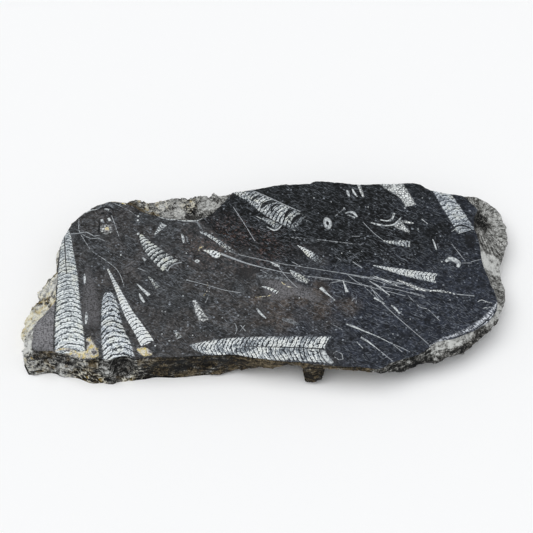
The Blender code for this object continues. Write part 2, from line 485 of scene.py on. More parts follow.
@dataclass(frozen=True)
class ShellCalcite:
    """White calcite that fills a chambered shell: bright, slightly grey, with a dark line at each septum.

    stone: the finish's place among the slab's finishes.
    bow: how far a septum bulges towards the apex, in chambers.
    power: the septum's shape across the shell: 2 is an arc, and less is nearer a chevron.
    wobble: how unevenly the septa run, in chambers.
    septum: how thick the dark lines are.
    dashes: how far the lines break up into dashes that run along them.
    mottle: how far they break up into blots.
    clouds: how much the brightness drifts.
    lines: how many finer growth lines a chamber has.
    line_dark: how dark those are.
    slope: how much darker each chamber gets from its septum on.
    speck: how strongly fine specks mottle it.
    siphuncle: the place across the shell where its two halves meet, as a share of the half width.
    light, mid, dark: the colours of the calcite, of its greyer parts and of its lines.
    tint, tint_share: a stain, and the most that it covers.
    fray: how ragged the shell's outline is.
    ragged_size, slow_size, speck_size: the widths of its noises, in millimetres.
    shakes: the width of each size of unevenness of the septa, and its share of the wobble.
    roughness: how dull the calcite is.
    """

    stone: Stone
    bow: float = 1.0
    power: float = 2.0
    wobble: float = 0.5
    septum: float = 0.16
    dashes: float = 1.6
    mottle: float = 1.3
    clouds: float = 0.3
    lines: float = 2.0
    line_dark: float = 0.55
    slope: float = 0.24
    speck: float = 0.34
    siphuncle: float = 0.1
    light: str = "#eef2f2"
    mid: str = "#9fa6ab"
    dark: str = "#25282d"
    tint: str = "#d9d4bd"
    tint_share: float = 0.5
    fray: float = 0.16
    ragged_size: float = 2.2
    slow_size: float = 12.0
    speck_size: float = 1.3
    shakes: tuple[Point, ...] = ((11.0, 2.0), (3.0, 0.6))
    roughness: float = 0.4

    def material(self, ground: Tree) -> Material:
        """Builds the shell's calcite.

        Args:
            ground: The polished stone's node group.

        Returns:
            The material.
        """
        material, tree = new_material(self.stone.value)
        nodes = InlayCanvas(tree, ground)
        ragged, slow = nodes.noise(self.ragged_size, 3.0), nodes.noise(self.slow_size)
        warped = self._warped(nodes)
        shades = self._shades(nodes, warped, slow, ragged)
        value = nodes.times(self._zebra(nodes, warped, ragged), *shades, nodes.light)
        colour = nodes.ramp(value, (0.14, self.dark), (0.44, self.mid), (0.8, self.light))
        stain = nodes.fit(slow, 0.5, 0.66, high=self.tint_share)
        colour = nodes.mix(stain, colour, self.tint, blend_type="MULTIPLY")
        mask = nodes.mask(ragged, self.fray)
        rough = nodes.add("Mix", {"Factor": mask, "A": nodes.stone["Roughness"], "B": self.roughness})
        nodes.polish(nodes.shown(mask, colour), rough, nodes.stone["Height"])
        return material

    def _warped(self, nodes: InlayCanvas) -> Node:
        """Bends the count of chambers into arcs, and makes them uneven.

        Args:
            nodes: The material's nodes.

        Returns:
            The node whose output is the bent count.
        """
        bulge = nodes.maths("POWER", nodes.side, self.power)
        bend = nodes.maths("MULTIPLY_ADD", bulge, -self.bow, nodes.phase)
        for size, amount in self.shakes:
            shake = nodes.maths("SUBTRACT", nodes.noise(size, 1.0), 0.5)
            bend = nodes.maths("MULTIPLY_ADD", shake, self.wobble * amount, bend)
        return bend

    def _zebra(self, nodes: InlayCanvas, warped: Node, ragged: Node) -> Node:
        """Draws the dark lines of the septa, broken up into dashes and blots.

        Args:
            nodes: The material's nodes.
            warped: The bent count of chambers.
            ragged: The fine noise.

        Returns:
            The node whose output is the lightness, from 0 to 1.
        """
        ridge = nodes.maths("PINGPONG", warped, 0.5)
        dash = nodes.noise(1.0, 2.0, nodes.flat(nodes.times(warped, 2.6), nodes.times(nodes.across, 3.2)))
        level = nodes.times(ridge, 1.6)
        for source, amount in ((dash, self.dashes), (ragged, self.mottle)):
            level = nodes.maths("MULTIPLY_ADD", nodes.maths("SUBTRACT", source, 0.5), amount, level)
        blots = nodes.fit(level, self.septum - 0.12, self.septum + 0.24, 0.04)
        thin = nodes.fit(nodes.maths("MULTIPLY_ADD", ragged, 0.3, ridge), 0.14, 0.3, 0.15)
        finer = nodes.maths("MULTIPLY_ADD", dash, 2.0, nodes.times(warped, self.lines))
        growth = nodes.fit(nodes.maths("PINGPONG", finer, 0.5), 0.04, 0.3, 1.0 - self.line_dark)
        return nodes.times(nodes.maths("MINIMUM", blots, thin), growth)

    def _shades(self, nodes: InlayCanvas, warped: Node, slow: Node, ragged: Node) -> list[Node]:
        """Shades the calcite chamber by chamber.

        Args:
            nodes: The material's nodes.
            warped: The bent count of chambers.
            slow: The slow noise.
            ragged: The fine noise.

        Returns:
            The nodes that the lightness is multiplied by.
        """
        half = nodes.maths("GREATER_THAN", nodes.across, self.siphuncle)
        number = nodes.maths("MULTIPLY_ADD", half, 31.7, nodes.maths("FLOOR", warped))
        chance = nodes.add("TexWhiteNoise", {"W": number}, noise_dimensions="1D").outputs["Value"]
        return [
            nodes.fit(nodes.maths("FRACT", warped), low=1.0 + self.slope / 2, high=1.0 - self.slope),
            nodes.spread(nodes.noise(self.speck_size, 1.0), 1.0 - self.speck, 1.0 + self.speck / 2, 0.15),
            nodes.fit(chance, low=0.86, high=1.08),
            nodes.spread(slow, 1.0 - self.clouds, 1.0 + self.clouds * 0.5, 0.15),
            nodes.spread(ragged, 0.78, 1.14),
        ]


@dataclass(frozen=True)
class InlaidCalcite:
    """Calcite of a small inlay, such as a vein or a bit of shell: pale, and a little see-through.

    stone: the finish's place among the slab's finishes.
    light, dark: the calcite's colours.
    core: the colour of its middle, for a shell cut across, and of the net.
    core_reach: how far that middle goes, as a share of the half width. 0 is no core.
    net: the width of the cells that a dark net divides it into. 0 is no net.
    stretch: how much longer its blotches are than wide, along the line of the larger veins.
    size: the width of its blotches.
    cover: the most that it covers the stone.
    fray: how ragged its outline is.
    patchy: how much it breaks into patches where it is weak.
    lean: how many degrees its blotches are turned.
    """

    stone: Stone
    light: str = "#dde2e4"
    dark: str = "#7b8085"
    core: str = "#15181c"
    core_reach: float = 0.0
    net: float = 0.0
    stretch: float = 1.0
    size: float = 2.4
    cover: float = 1.0
    fray: float = 0.3
    patchy: float = 0.35
    lean: float = 35.0

    def material(self, ground: Tree) -> Material:
        """Builds the inlay's calcite.

        Args:
            ground: The polished stone's node group.

        Returns:
            The material.
        """
        material, tree = new_material(self.stone.value)
        nodes = InlayCanvas(tree, ground)
        squeezed = nodes.vector("MULTIPLY", nodes.turned(self.lean), (1.0 / self.stretch, 1.0, 1.0))
        ragged = nodes.noise(self.size, 4.0, squeezed)
        depth = nodes.times(nodes.fit(nodes.side, 0.4, low=1.0, high=0.6), nodes.light)
        colour = nodes.ramp(ragged, (0.36, self.dark), (0.58, self.light))
        colour = nodes.vector("SCALE", colour, Scale=depth)
        if self.net:
            colour = nodes.mix(nodes.fit(nodes.walls(self.net, nodes.place), 0.02, 0.14), self.core, colour)
        if self.core_reach:
            middle = nodes.fit(nodes.side, self.core_reach, self.core_reach * 0.7)
            colour = nodes.mix(middle, colour, self.core)
        mask = nodes.times(nodes.mask(ragged, self.fray, self.patchy), self.cover)
        nodes.polish(nodes.shown(mask, colour), nodes.stone["Roughness"], nodes.stone["Height"])
        return material


@dataclass(frozen=True)
class StainedCalcite:
    """Coarse calcite between two shells, stained by iron: cream and ochre patches in lilac grey."""

    stone: Stone = Stone.FILLER
    grey: str = "#a3a2a6"
    cream: str = "#e2ddca"
    ochre: str = "#dcc56c"
    dark: str = "#4a4540"
    patch_size: float = 8.0
    ragged_size: float = 2.0
    fray: float = 0.25
    roughness: float = 0.42

    def material(self, ground: Tree) -> Material:
        """Builds the stained calcite.

        Args:
            ground: The polished stone's node group.

        Returns:
            The material.
        """
        material, tree = new_material(self.stone.value)
        nodes = InlayCanvas(tree, ground)
        patches = nodes.noise(self.patch_size, 4.0, Distortion=0.4)
        ragged = nodes.noise(self.ragged_size, 3.0)
        order = (self.dark, self.grey, self.cream, self.grey, self.ochre, self.cream)
        colour = nodes.ramp(patches, *zip((0.36, 0.42, 0.49, 0.52, 0.56, 0.62), order))
        shown = nodes.shown(nodes.mask(ragged, self.fray), colour)
        shown = nodes.vector("SCALE", shown, Scale=nodes.spread(ragged, 0.55, 1.25))
        nodes.polish(shown, self.roughness, nodes.stone["Height"])
        return material


@dataclass(frozen=True)
class WeatheredRim:
    """The stone's natural broken surface: dull, dusty and uneven, with stains that its zones set, and a
    painted shade that darkens its lower facets and lightens its higher ones.

    The front shows the thin beds of the rock as level streaks. At the right the stone broke along fine
    ridges that fan out from one hollow. Pale crystal threads cross the stained parts.
    """

    deep: str = "#131415"
    dark: str = "#3b3a37"
    middle: str = "#8b8b88"
    light: str = "#cecfcc"
    ochre: str = "#cbab55"
    cream: str = "#dedbc6"
    brown: str = "#75664a"
    umber: str = "#15110b"
    thread: str = "#e6e2d2"
    stain_size: float = 9.0
    blotch_size: float = 5.0
    grit_size: float = 1.6
    bed_length: float = 38.0
    bed_height: float = 2.2
    beds_to: Point = (-95.0, -115.0)
    fan_centre: Point = (260.0, 84.0)
    fan_reach: Point = (110.0, 45.0)
    fan_ridges: float = 24.0
    ridge_length: float = 24.0
    thread_size: float = 7.0
    thread_lean: float = 38.0

    def material(self) -> Material:
        """Builds the rim's material.

        Returns:
            The material.
        """
        material, tree = new_material(Stone.RIM.value)
        nodes = Canvas(tree)
        stains_and_shade = nodes.add("Attribute", attribute_name=STAINS_AND_SHADE).outputs
        ochre, pale, brown = nodes.add("SeparateColor", {0: stains_and_shade["Color"]}).outputs
        tone, grain, _ = nodes.parts(nodes.add("Attribute", attribute_name=TONE).outputs["Vector"])
        blotch = nodes.noise(self.blotch_size, 5.0)
        uneven = nodes.maths("ADD", blotch, nodes.noise(self.grit_size, 3.0))
        rough = nodes.times(nodes.fit(uneven, 0.7, 1.3, -0.42, 0.42), nodes.fit(grain, low=0.85, high=1.2))
        # The alpha is the painted shade of the facets: darker low down, lighter high up.
        level = nodes.maths("MULTIPLY_ADD", stains_and_shade["Alpha"], 0.6, tone)
        for more in (rough, self._beds(nodes), self._fan(nodes), -0.3):
            level = nodes.maths("ADD", level, more)
        stops = zip((0.0, 0.28, 0.6, 0.95), (self.deep, self.dark, self.middle, self.light))
        colour = nodes.ramp(level, *stops)
        for share, seed, light, dark in (
            (brown, 60.0, self.brown, self.umber),
            (pale, 140.0, self.light, self.middle),
            (ochre, 100.0, self.cream, self.ochre),
        ):
            moved = nodes.vector("ADD", nodes.place, (seed, 0.0, 0.0))
            reach = nodes.maths("ADD", nodes.noise(self.stain_size, 5.0, moved, Roughness=0.6), share)
            stain = nodes.ramp(level, (0.0, dark), (0.75, light))
            colour = nodes.mix(nodes.fit(reach, 0.84, 1.0, high=0.9), colour, stain)
        colour = nodes.mix(self._threads(nodes, blotch, ochre), colour, self.thread)
        nodes.surface(colour, 0.82, Normal=nodes.bump(level, 0.5, 0.0012), IOR=1.3)
        return material

    def _beds(self, nodes: Canvas) -> Node:
        """How much lighter or darker the rock's thin beds make its front.

        Args:
            nodes: The material's nodes.

        Returns:
            The node whose output is how much.
        """
        size = (per_mm(self.bed_length), per_mm(self.bed_length), per_mm(self.bed_height))
        beds = nodes.noise(1.0, 2.0, nodes.vector("MULTIPLY", nodes.place, size))
        front = nodes.fit(nodes.parts(nodes.place)[1], *self.beds_to)
        return nodes.times(nodes.spread(beds, -0.32, 0.32), front)

    def _fan(self, nodes: Canvas) -> Node:
        """How much lighter or darker the fine ridges make it, which fan out at the right.

        Args:
            nodes: The material's nodes.

        Returns:
            The node whose output is how much.
        """
        arm = nodes.away_from(self.fan_centre)
        x, y, _ = nodes.parts(arm)
        far = nodes.vector("LENGTH", arm).outputs["Value"]
        angle = nodes.times(nodes.maths("ARCTAN2", y, x), self.fan_ridges)
        ridges = nodes.noise(1.0, 3.0, nodes.flat(angle, nodes.times(far, per_mm(self.ridge_length))))
        return nodes.times(nodes.spread(ridges, -0.3, 0.26), nodes.fit(far, *self.fan_reach))

    def _threads(self, nodes: Canvas, blotch: Node, share: Socket) -> Node:
        """Draws thin pale threads of crystal where the stone is stained.

        Args:
            nodes: The material's nodes.
            blotch: The noise that breaks them up.
            share: How much ochre stain the place has.

        Returns:
            The node whose output is their share.
        """
        leaning = nodes.turned(self.thread_lean, rotation_type="Y_AXIS")
        walls = nodes.walls(self.thread_size, nodes.vector("MULTIPLY", leaning, (1.0, 1.0, 0.45)))
        near = nodes.fit(share, 0.1, 0.3, high=0.85)
        return nodes.times(nodes.fit(walls, 0.09, 0.03), nodes.fit(blotch, 0.46, 0.56), near)


@dataclass(frozen=True)
class SawnUnderside:
    """The underside, sawn and never polished: flat dull grey, with faint parallel saw lines."""

    light: str = "#77777a"
    dark: str = "#5a5a5c"
    line_spacing: float = 9.54
    cloud_size: float = 20.0
    roughness: float = 0.75

    def material(self) -> Material:
        """Builds the underside's material.

        Returns:
            The material.
        """
        material, tree = new_material(Stone.UNDERSIDE.value)
        nodes = Canvas(tree)
        wave = {"Vector": nodes.place, "Scale": per_mm(self.line_spacing), "Distortion": 1.5}
        lines = nodes.add("TexWave", wave, bands_direction="Y")
        both = nodes.maths("MULTIPLY_ADD", lines, 0.25, nodes.noise(self.cloud_size, 5.0))
        nodes.surface(nodes.ramp(both, (0.35, self.dark), (0.8, self.light)), self.roughness, IOR=1.5)
        return material


# ---------------------------------------------------------------------------------------------------------
# Inlays of the polished face
# ---------------------------------------------------------------------------------------------------------


def between(values: tuple[float, ...], share: float) -> float:
    """Reads a list of evenly spread values at a share of its length."""
    return float(np.interp(share * (len(values) - 1), range(len(values)), values))


def smooth_through(stations: tuple[Spot, ...], step: float) -> list[Spot]:
    """Runs a smooth line through stations.

    Args:
        stations: Places and widths, as x, y and width.
        step: The longest distance between two points of the line.

    Returns:
        The line's points with their widths.
    """
    points: list[Spot] = []
    last = len(stations) - 1
    for i in range(last):
        around = [np.array(stations[min(max(i + k, 0), last)]) for k in (-1, 0, 1, 2)]
        p0, p1, p2, p3 = around
        count = max(1, math.ceil(math.dist(p1[:2], p2[:2]) / step))
        for k in range(count):
            t = k / count
            bend = (2 * p0 - 5 * p1 + 4 * p2 - p3) * t * t + (3 * p1 - p0 - 3 * p2 + p3) * t**3
            x, y, width = (2 * p1 + (p2 - p0) * t + bend) / 2
            points.append((float(x), float(y), max(float(width), 0.3)))
    return [*points, stations[-1]]


def turn_of(outline: list[Point]) -> float:
    """An outline's area, which is above zero where it runs counterclockwise."""
    ends = zip(outline, outline[1:] + outline[:1])
    return sum(a[0] * b[1] - b[0] * a[1] for a, b in ends) / 2


@dataclass(frozen=True)
class Rib:
    """A cross line of a ribbon: its middle, the unit vector to its left end, and what it carries."""

    x: float
    y: float
    side_x: float
    side_y: float
    half: float
    phase: float
    cover: float
    light: float

    def end(self, share: float) -> Point:
        """The point at a share of the half width, from -1 to 1."""
        return (self.x + self.side_x * self.half * share, self.y + self.side_y * self.half * share)


@dataclass
class Ribbon:
    """An inlay that follows a smooth line: a shell, a sliver of one, or a vein.

    stone: its finish.
    spine: the line's stations, as x, y and width, apex first.
    spacing: the chambers' length at the start and at the end.
    cover: how fully it shows, spread evenly from its start to its end.
    light: how bright it is, spread in the same way.
    step: the longest distance between its cross lines.
    """

    stone: Stone
    spine: tuple[Spot, ...]
    spacing: Point = (5.0, 5.0)
    cover: tuple[float, ...] = (1.0,)
    light: tuple[float, ...] = (1.0,)
    step: float = 5.0
    ribs: list[Rib] = field(init=False, repr=False)

    def __post_init__(self) -> None:
        """Works out the cross lines."""
        points = smooth_through(self.spine, self.step)
        lengths = [math.dist(a[:2], b[:2]) for a, b in zip(points, points[1:])]
        total = sum(lengths)
        self.ribs = []
        gone, phase = 0.0, 0.0
        for i, (x, y, width) in enumerate(points):
            before, after = points[max(i - 1, 0)], points[min(i + 1, len(points) - 1)]
            run = math.dist(before[:2], after[:2]) or 1.0
            side = (-(after[1] - before[1]) / run, (after[0] - before[0]) / run)
            share = gone / total
            rib = Rib(x, y, *side, width / 2, phase, between(self.cover, share), between(self.light, share))
            self.ribs.append(rib)
            if i < len(lengths):
                middle = (gone + lengths[i] / 2) / total
                phase += lengths[i] / between(self.spacing, middle)
                gone += lengths[i]

    def cells(self) -> list[list[Point]]:
        """The quads that the face is cut along."""
        stops = (-1.0, 0.0, 1.0) if self.ribs[-1].half > 3.0 else (-1.0, 1.0)
        quads = []
        for a, b in zip(self.ribs, self.ribs[1:]):
            for low, high in zip(stops, stops[1:]):
                quads.append([a.end(low), a.end(high), b.end(high), b.end(low)])
        return quads

    def locate(self, x: float, y: float) -> tuple[float, float, float, float]:
        """Finds a point's place in the ribbon.

        Args:
            x: The point along the slab.
            y: The point across the slab.

        Returns:
            The chamber count there, the place across from -1 to 1, the cover and the brightness.
        """
        best, least = (0.0, 1.0, 0.0, 1.0), math.inf
        for a, b in zip(self.ribs, self.ribs[1:]):
            run_x, run_y = b.x - a.x, b.y - a.y
            length = run_x * run_x + run_y * run_y or 1e-9
            t = min(max(((x - a.x) * run_x + (y - a.y) * run_y) / length, 0.0), 1.0)
            off_x, off_y = x - a.x - run_x * t, y - a.y - run_y * t
            gap = math.hypot(off_x, off_y)
            if gap >= least:
                continue
            least = gap
            names = ("side_x", "side_y", "half", "phase", "cover", "light")
            ends = [(getattr(a, name), getattr(b, name)) for name in names]
            side_x, side_y, half, phase, cover, light = [p + (q - p) * t for p, q in ends]
            across = (off_x * side_x + off_y * side_y) / max(half, 0.1)
            best = (phase, max(-1.0, min(1.0, across)), cover, light)
        return best


@dataclass
class Patch:
    """An inlay with an outline round a middle: a shell cut across, a fleck, or a filling.

    stone: its finish.
    outline: its corners in order round it, which a smooth line joins.
    cover: how fully it shows.
    light: how bright it is.
    step: the longest distance between its outline's points.
    """

    stone: Stone
    outline: tuple[Point, ...]
    cover: float = 1.0
    light: float = 1.0
    step: float = 2.5
    middle: Point = field(init=False)
    rim: list[Point] = field(init=False, repr=False)

    def __post_init__(self) -> None:
        """Works out the middle and the smooth outline."""
        closed = self.outline + self.outline[:3]
        points = smooth_through(tuple((x, y, 1.0) for x, y in closed), self.step)
        start = next(i for i, p in enumerate(points) if math.dist(p[:2], closed[1]) < 1e-6)
        end = next(i for i, p in enumerate(points) if i > start and math.dist(p[:2], closed[1]) < 1e-6)
        self.rim = [(p[0], p[1]) for p in points[start:end]]
        self.middle = tuple(sum(values) / len(self.outline) for values in zip(*self.outline))

    def cells(self) -> list[list[Point]]:
        """The triangles from the middle that the face is cut along."""
        return [[self.middle, a, b] for a, b in zip(self.rim, self.rim[1:] + self.rim[:1])]

    def locate(self, x: float, y: float) -> tuple[float, float, float, float]:
        """Finds a point's place in the patch.

        Args:
            x: The point along the slab.
            y: The point across the slab.

        Returns:
            0, the place from 0 in the middle to 1 at the outline, the cover and the brightness.
        """
        gap = math.dist((x, y), self.middle)
        if gap < 1e-3:
            return (0.0, 0.0, self.cover, self.light)
        angle = math.atan2(y - self.middle[1], x - self.middle[0])
        reach = self._reach(angle)
        return (0.0, min(1.0, gap / max(reach, 0.1)), self.cover, self.light)

    def _reach(self, angle: float) -> float:
        """How far the outline is from the middle in a direction.

        Args:
            angle: The direction, in radians.

        Returns:
            The distance.
        """
        ux, uy = math.cos(angle), math.sin(angle)
        best = 0.0
        for a, b in zip(self.rim, self.rim[1:] + self.rim[:1]):
            ax, ay = a[0] - self.middle[0], a[1] - self.middle[1]
            bx, by = b[0] - self.middle[0], b[1] - self.middle[1]
            turn = ux * (by - ay) - uy * (bx - ax)
            if abs(turn) < 1e-9:
                continue
            t = (uy * ax - ux * ay) / turn
            if -1e-6 <= t <= 1 + 1e-6:
                out = (ax + (bx - ax) * t) * ux + (ay + (by - ay) * t) * uy
                best = max(best, out)
        return best


Inlay = Ribbon | Patch


def vein(*places: Point, width: float = 1.0, cover: tuple[float, ...] = (0.9,)) -> Ribbon:
    """A hairline vein of calcite through some places."""
    return Ribbon(Stone.VEIN, tuple((x, y, width) for x, y in places), cover=cover, step=8.0)


def sliver(*spots: Spot, cover: tuple[float, ...] = (1.0,), stone: Stone = Stone.FRAGMENT) -> Ribbon:
    """A thin bit of shell along a line of x, y and width."""
    return Ribbon(stone, spots, cover=cover, step=4.0)


def fleck(x: float, y: float, size: float) -> Patch:
    """A small roundish fleck of calcite, a fifth longer than wide."""
    half = size / 2
    corners = ((x - half, y), (x, y - half * 1.2), (x + half, y), (x, y + half * 1.2))
    return Patch(Stone.FRAGMENT, corners, cover=0.9, step=2.0)


SHELLS: tuple[Inlay, ...] = (
    Ribbon(
        Stone.SMALL_DART, ((-86, 31, 2), (-80, 29, 6), (-75, 27, 11), (-70, 23.5, 13), (-65, 21.5, 9)),
        spacing=(4.0, 4.5), cover=(0.8, 1.0, 1.0, 1.0, 0.8), light=(1.4, 1.9, 1.9),
    ),
    Ribbon(
        Stone.GREAT_LEFT,
        (
            (-261, 66, 7), (-259, 52, 14), (-256, 31, 18), (-251, -5, 26), (-247, -37, 30), (-242, -78, 35),
            (-238, -105, 38), (-235, -126, 39),
        ),
        spacing=(4.0, 9.0), cover=(0.85, 0.9, 1.0, 1.0, 1.0, 1.0), light=(0.95, 0.9, 0.95, 1.12, 1.25, 1.2),
    ),
    Ribbon(
        Stone.BLUNT_LEFT,
        (
            (-199, -36, 7), (-198, -41, 14), (-196, -52, 20), (-194, -63, 23), (-189.5, -90, 29),
            (-184.5, -108, 35), (-180, -124, 39), (-177, -140, 41),
        ),
        spacing=(7.0, 9.0), light=(0.8, 0.95, 0.9, 1.2, 1.0),
    ),
    Ribbon(
        Stone.SLENDER_LEFT,
        ((-202.5, 1, 2), (-187, -33, 7), (-172, -67, 12.5), (-159, -89.5, 15.5), (-146, -113, 19)),
        spacing=(3.5, 6.5), light=(1.2, 1.55, 1.6),
    ),
    Ribbon(
        Stone.SHORT_LEFT, ((-166, 57, 4), (-160, 45, 12), (-151.5, 33, 19), (-138, 18, 24), (-126, 6, 28)),
        spacing=(4.0, 8.5), cover=(1.0, 1.0, 0.95, 0.75), light=(1.8, 1.75, 1.55, 1.4),
    ),
    Ribbon(
        Stone.GREAT_REAR,
        ((-50, 133, 6), (-42, 128, 12), (-25.5, 121, 22), (-4, 104, 32), (18, 88, 34), (36, 77, 30)),
        spacing=(4.0, 5.5), cover=(0.9, 1.0, 1.0, 1.0, 0.9, 0.5), light=(0.9, 1.0, 1.15, 1.15, 1.0, 0.55),
    ),
    Ribbon(
        Stone.GREAT_FRONT,
        (
            (-97, -115.5, 2), (-93, -116.5, 8), (-88, -117.5, 13), (-81, -118.5, 19), (-64, -119, 27),
            (-44, -118.5, 32), (-15, -119, 36), (31, -120.5, 40), (78, -122.5, 44),
        ),
        spacing=(4.8, 5.6), cover=(0.8, 1.0, 1.0, 1.0, 1.0, 1.0), light=(1.1, 1.12, 1.1, 1.0, 1.05, 1.15),
    ),
    Ribbon(
        Stone.CORNER_REAR,
        ((214, 143, 21), (219.5, 130.5, 22), (226, 113, 24), (233, 95, 25), (239, 78, 26), (244.5, 62, 27)),
        spacing=(5.0, 8.0), cover=(0.9, 0.9, 1.0, 0.9), light=(1.0, 0.95, 1.1, 0.95, 0.8),
    ),
    Ribbon(
        Stone.CELLS, ((152, 152, 34), (159, 142, 30), (167, 131, 22), (173, 120, 18), (178, 106, 17)),
        spacing=(5.0, 5.0), cover=(1.0, 1.0, 1.0, 0.85), light=(1.0, 1.1, 1.1, 1.0),
    ),
    Ribbon(
        Stone.RIGHT_DART, ((124, 6, 1.5), (141, 1, 6), (163, -5.5, 12), (183, -10.5, 15), (200, -14.5, 17)),
        spacing=(3.5, 5.0), light=(1.15, 1.1, 0.9),
    ),
    Ribbon(
        Stone.SMALL_DART, ((138, 47, 1.5), (147, 44, 6), (159, 43, 10), (172, 41, 14)), spacing=(3.5, 4.5),
        cover=(1.0, 1.0, 0.9, 0.55), light=(1.2, 1.0, 0.9, 0.7),
    ),
    Ribbon(
        Stone.SMALL_DART, ((31, 39, 1), (38, 33, 6), (45, 26, 11), (51, 20, 12), (61, 12, 13)),
        spacing=(3.0, 4.0), cover=(1.0, 1.0, 1.0, 0.6, 0.35), light=(1.6, 1.6, 1.5, 0.5, 0.5),
    ),
    Ribbon(
        Stone.SMALL_DART, ((-13, 85, 5), (-3, 78, 9), (7, 70, 11)), spacing=(3.0, 4.5),
        cover=(0.6, 0.8, 0.6), light=(0.8, 0.7),
    ),
    Ribbon(
        Stone.SMALL_DART,
        ((-91, 61, 4), (-84, 58, 6), (-76, 52, 6), (-63, 41, 8), (-52, 31, 7), (-42, 24, 4)),
        spacing=(5.0, 4.5), cover=(0.7, 0.85, 0.75, 0.5, 0.35), light=(0.9, 1.0, 0.8, 0.6),
    ),
    Ribbon(
        Stone.SMALL_DART, ((-151, -12, 2), (-145, -20, 6), (-139, -29, 8)), spacing=(3.0, 4.0),
        cover=(0.6, 0.6), light=(0.9, 0.6),
    ),
    Ribbon(
        Stone.SMALL_DART, ((-116, -93, 5), (-109, -105, 9)), spacing=(3.0, 4.0), cover=(0.6, 0.5),
        light=(0.8,),
    ),
    Ribbon(
        Stone.SMALL_DART, ((21, -1, 2), (31, -9, 6), (43, -20, 9)), spacing=(4.0, 5.0),
        cover=(0.8, 0.75, 0.5), light=(1.0,),
    ),
    Ribbon(
        Stone.SMALL_DART, ((-13, -27, 2), (-3, -31, 5), (6, -37, 6)), spacing=(3.5, 4.0),
        cover=(0.8, 1.0, 1.0), light=(1.1, 1.4, 1.4),
    ),
    Ribbon(
        Stone.SMALL_DART, ((-148, 57, 2), (-143, 65, 7), (-137, 75, 12)), spacing=(3.0, 4.0),
        cover=(0.9, 0.8), light=(1.1, 1.0),
    ),
)

FILLINGS: tuple[Inlay, ...] = (
    Patch(
        Stone.STAIN,
        (
            (-24, -12), (-13, -6), (8, -9), (29, -16), (45, -25), (60, -37), (70, -50), (59, -57),
            (45, -48), (32, -44), (18, -48), (4, -54), (-12, -50), (-19, -37), (-17, -24),
        ),
        cover=0.8,
    ),
    Patch(
        Stone.STAIN,
        ((-50, 2), (-34, 5), (-14, 3), (-4, -2), (-13, -5), (-24, -10), (-28, -20), (-40, -20), (-50, -10)),
        cover=0.85, light=0.14,
    ),
    Patch(
        Stone.STAIN,
        (
            (-256, -28), (-262, -28), (-270, -58), (-286, -82), (-290, -106), (-286, -134), (-262, -138),
            (-244, -138), (-244, -90), (-248, -50),
        ),
        cover=1.0, light=1.6,
    ),
    Patch(
        Stone.STAIN,
        ((-234, 16), (-224, 14), (-206, -48), (-200, -94), (-208, -100), (-226, -98), (-232, -48)),
        cover=0.7, light=0.75,
    ),
    Patch(
        Stone.FILLER,
        (
            (-246, -127), (-244, -117), (-236, -113), (-222, -113), (-218, -104), (-213, -101),
            (-208, -108), (-202, -118), (-198, -133), (-210, -137), (-224, -137), (-236, -133),
        ),
        cover=0.9,
    ),
    Patch(Stone.FILLER, ((-160, -121), (-153, -117), (-144, -120), (-138, -129), (-150, -132)), cover=0.75),
)

FLECKS: tuple[Patch, ...] = tuple(
    fleck(*row)
    for row in (
        (-169, 58, 5), (-171, 81, 4), (-171, 88, 4), (-188, 23, 3), (-160, 18, 3), (92, 102, 3),
        (54, 120, 3), (76, 113, 2.5), (123, 104, 2.5), (44, 80, 2), (96, 29, 2.5), (86, 26, 2.5),
        (141, -99, 2.5), (89, -128, 2.5), (64, -81, 2), (-60, -75, 2.5), (-41, -72, 2.5), (74, -48, 3),
        (32, -45, 2.5), (-108, -42, 3), (-94, -101, 2.5), (-76, 59, 2.5), (-107, 26, 2.5), (-132, -65, 2.5),
        (-128, -66, 2), (-130, -99, 2.5), (-121, -109, 2.5), (-137, -116, 3), (184, 66, 2.5), (209, 12, 3),
        (211, 7, 2.5), (157, 8, 2.5), (217, -12, 2.5), (164, -56, 2), (163, -77, 2), (255, -51, 2.5),
        (153, -66, 2), (213, -48, 2.5), (220, -71, 2), (151, -23, 2.5), (111, 29, 2.5), (105, 54, 2),
        (137, 16, 2.5), (170, 102, 3), (194, 120, 2.5),
    )
)

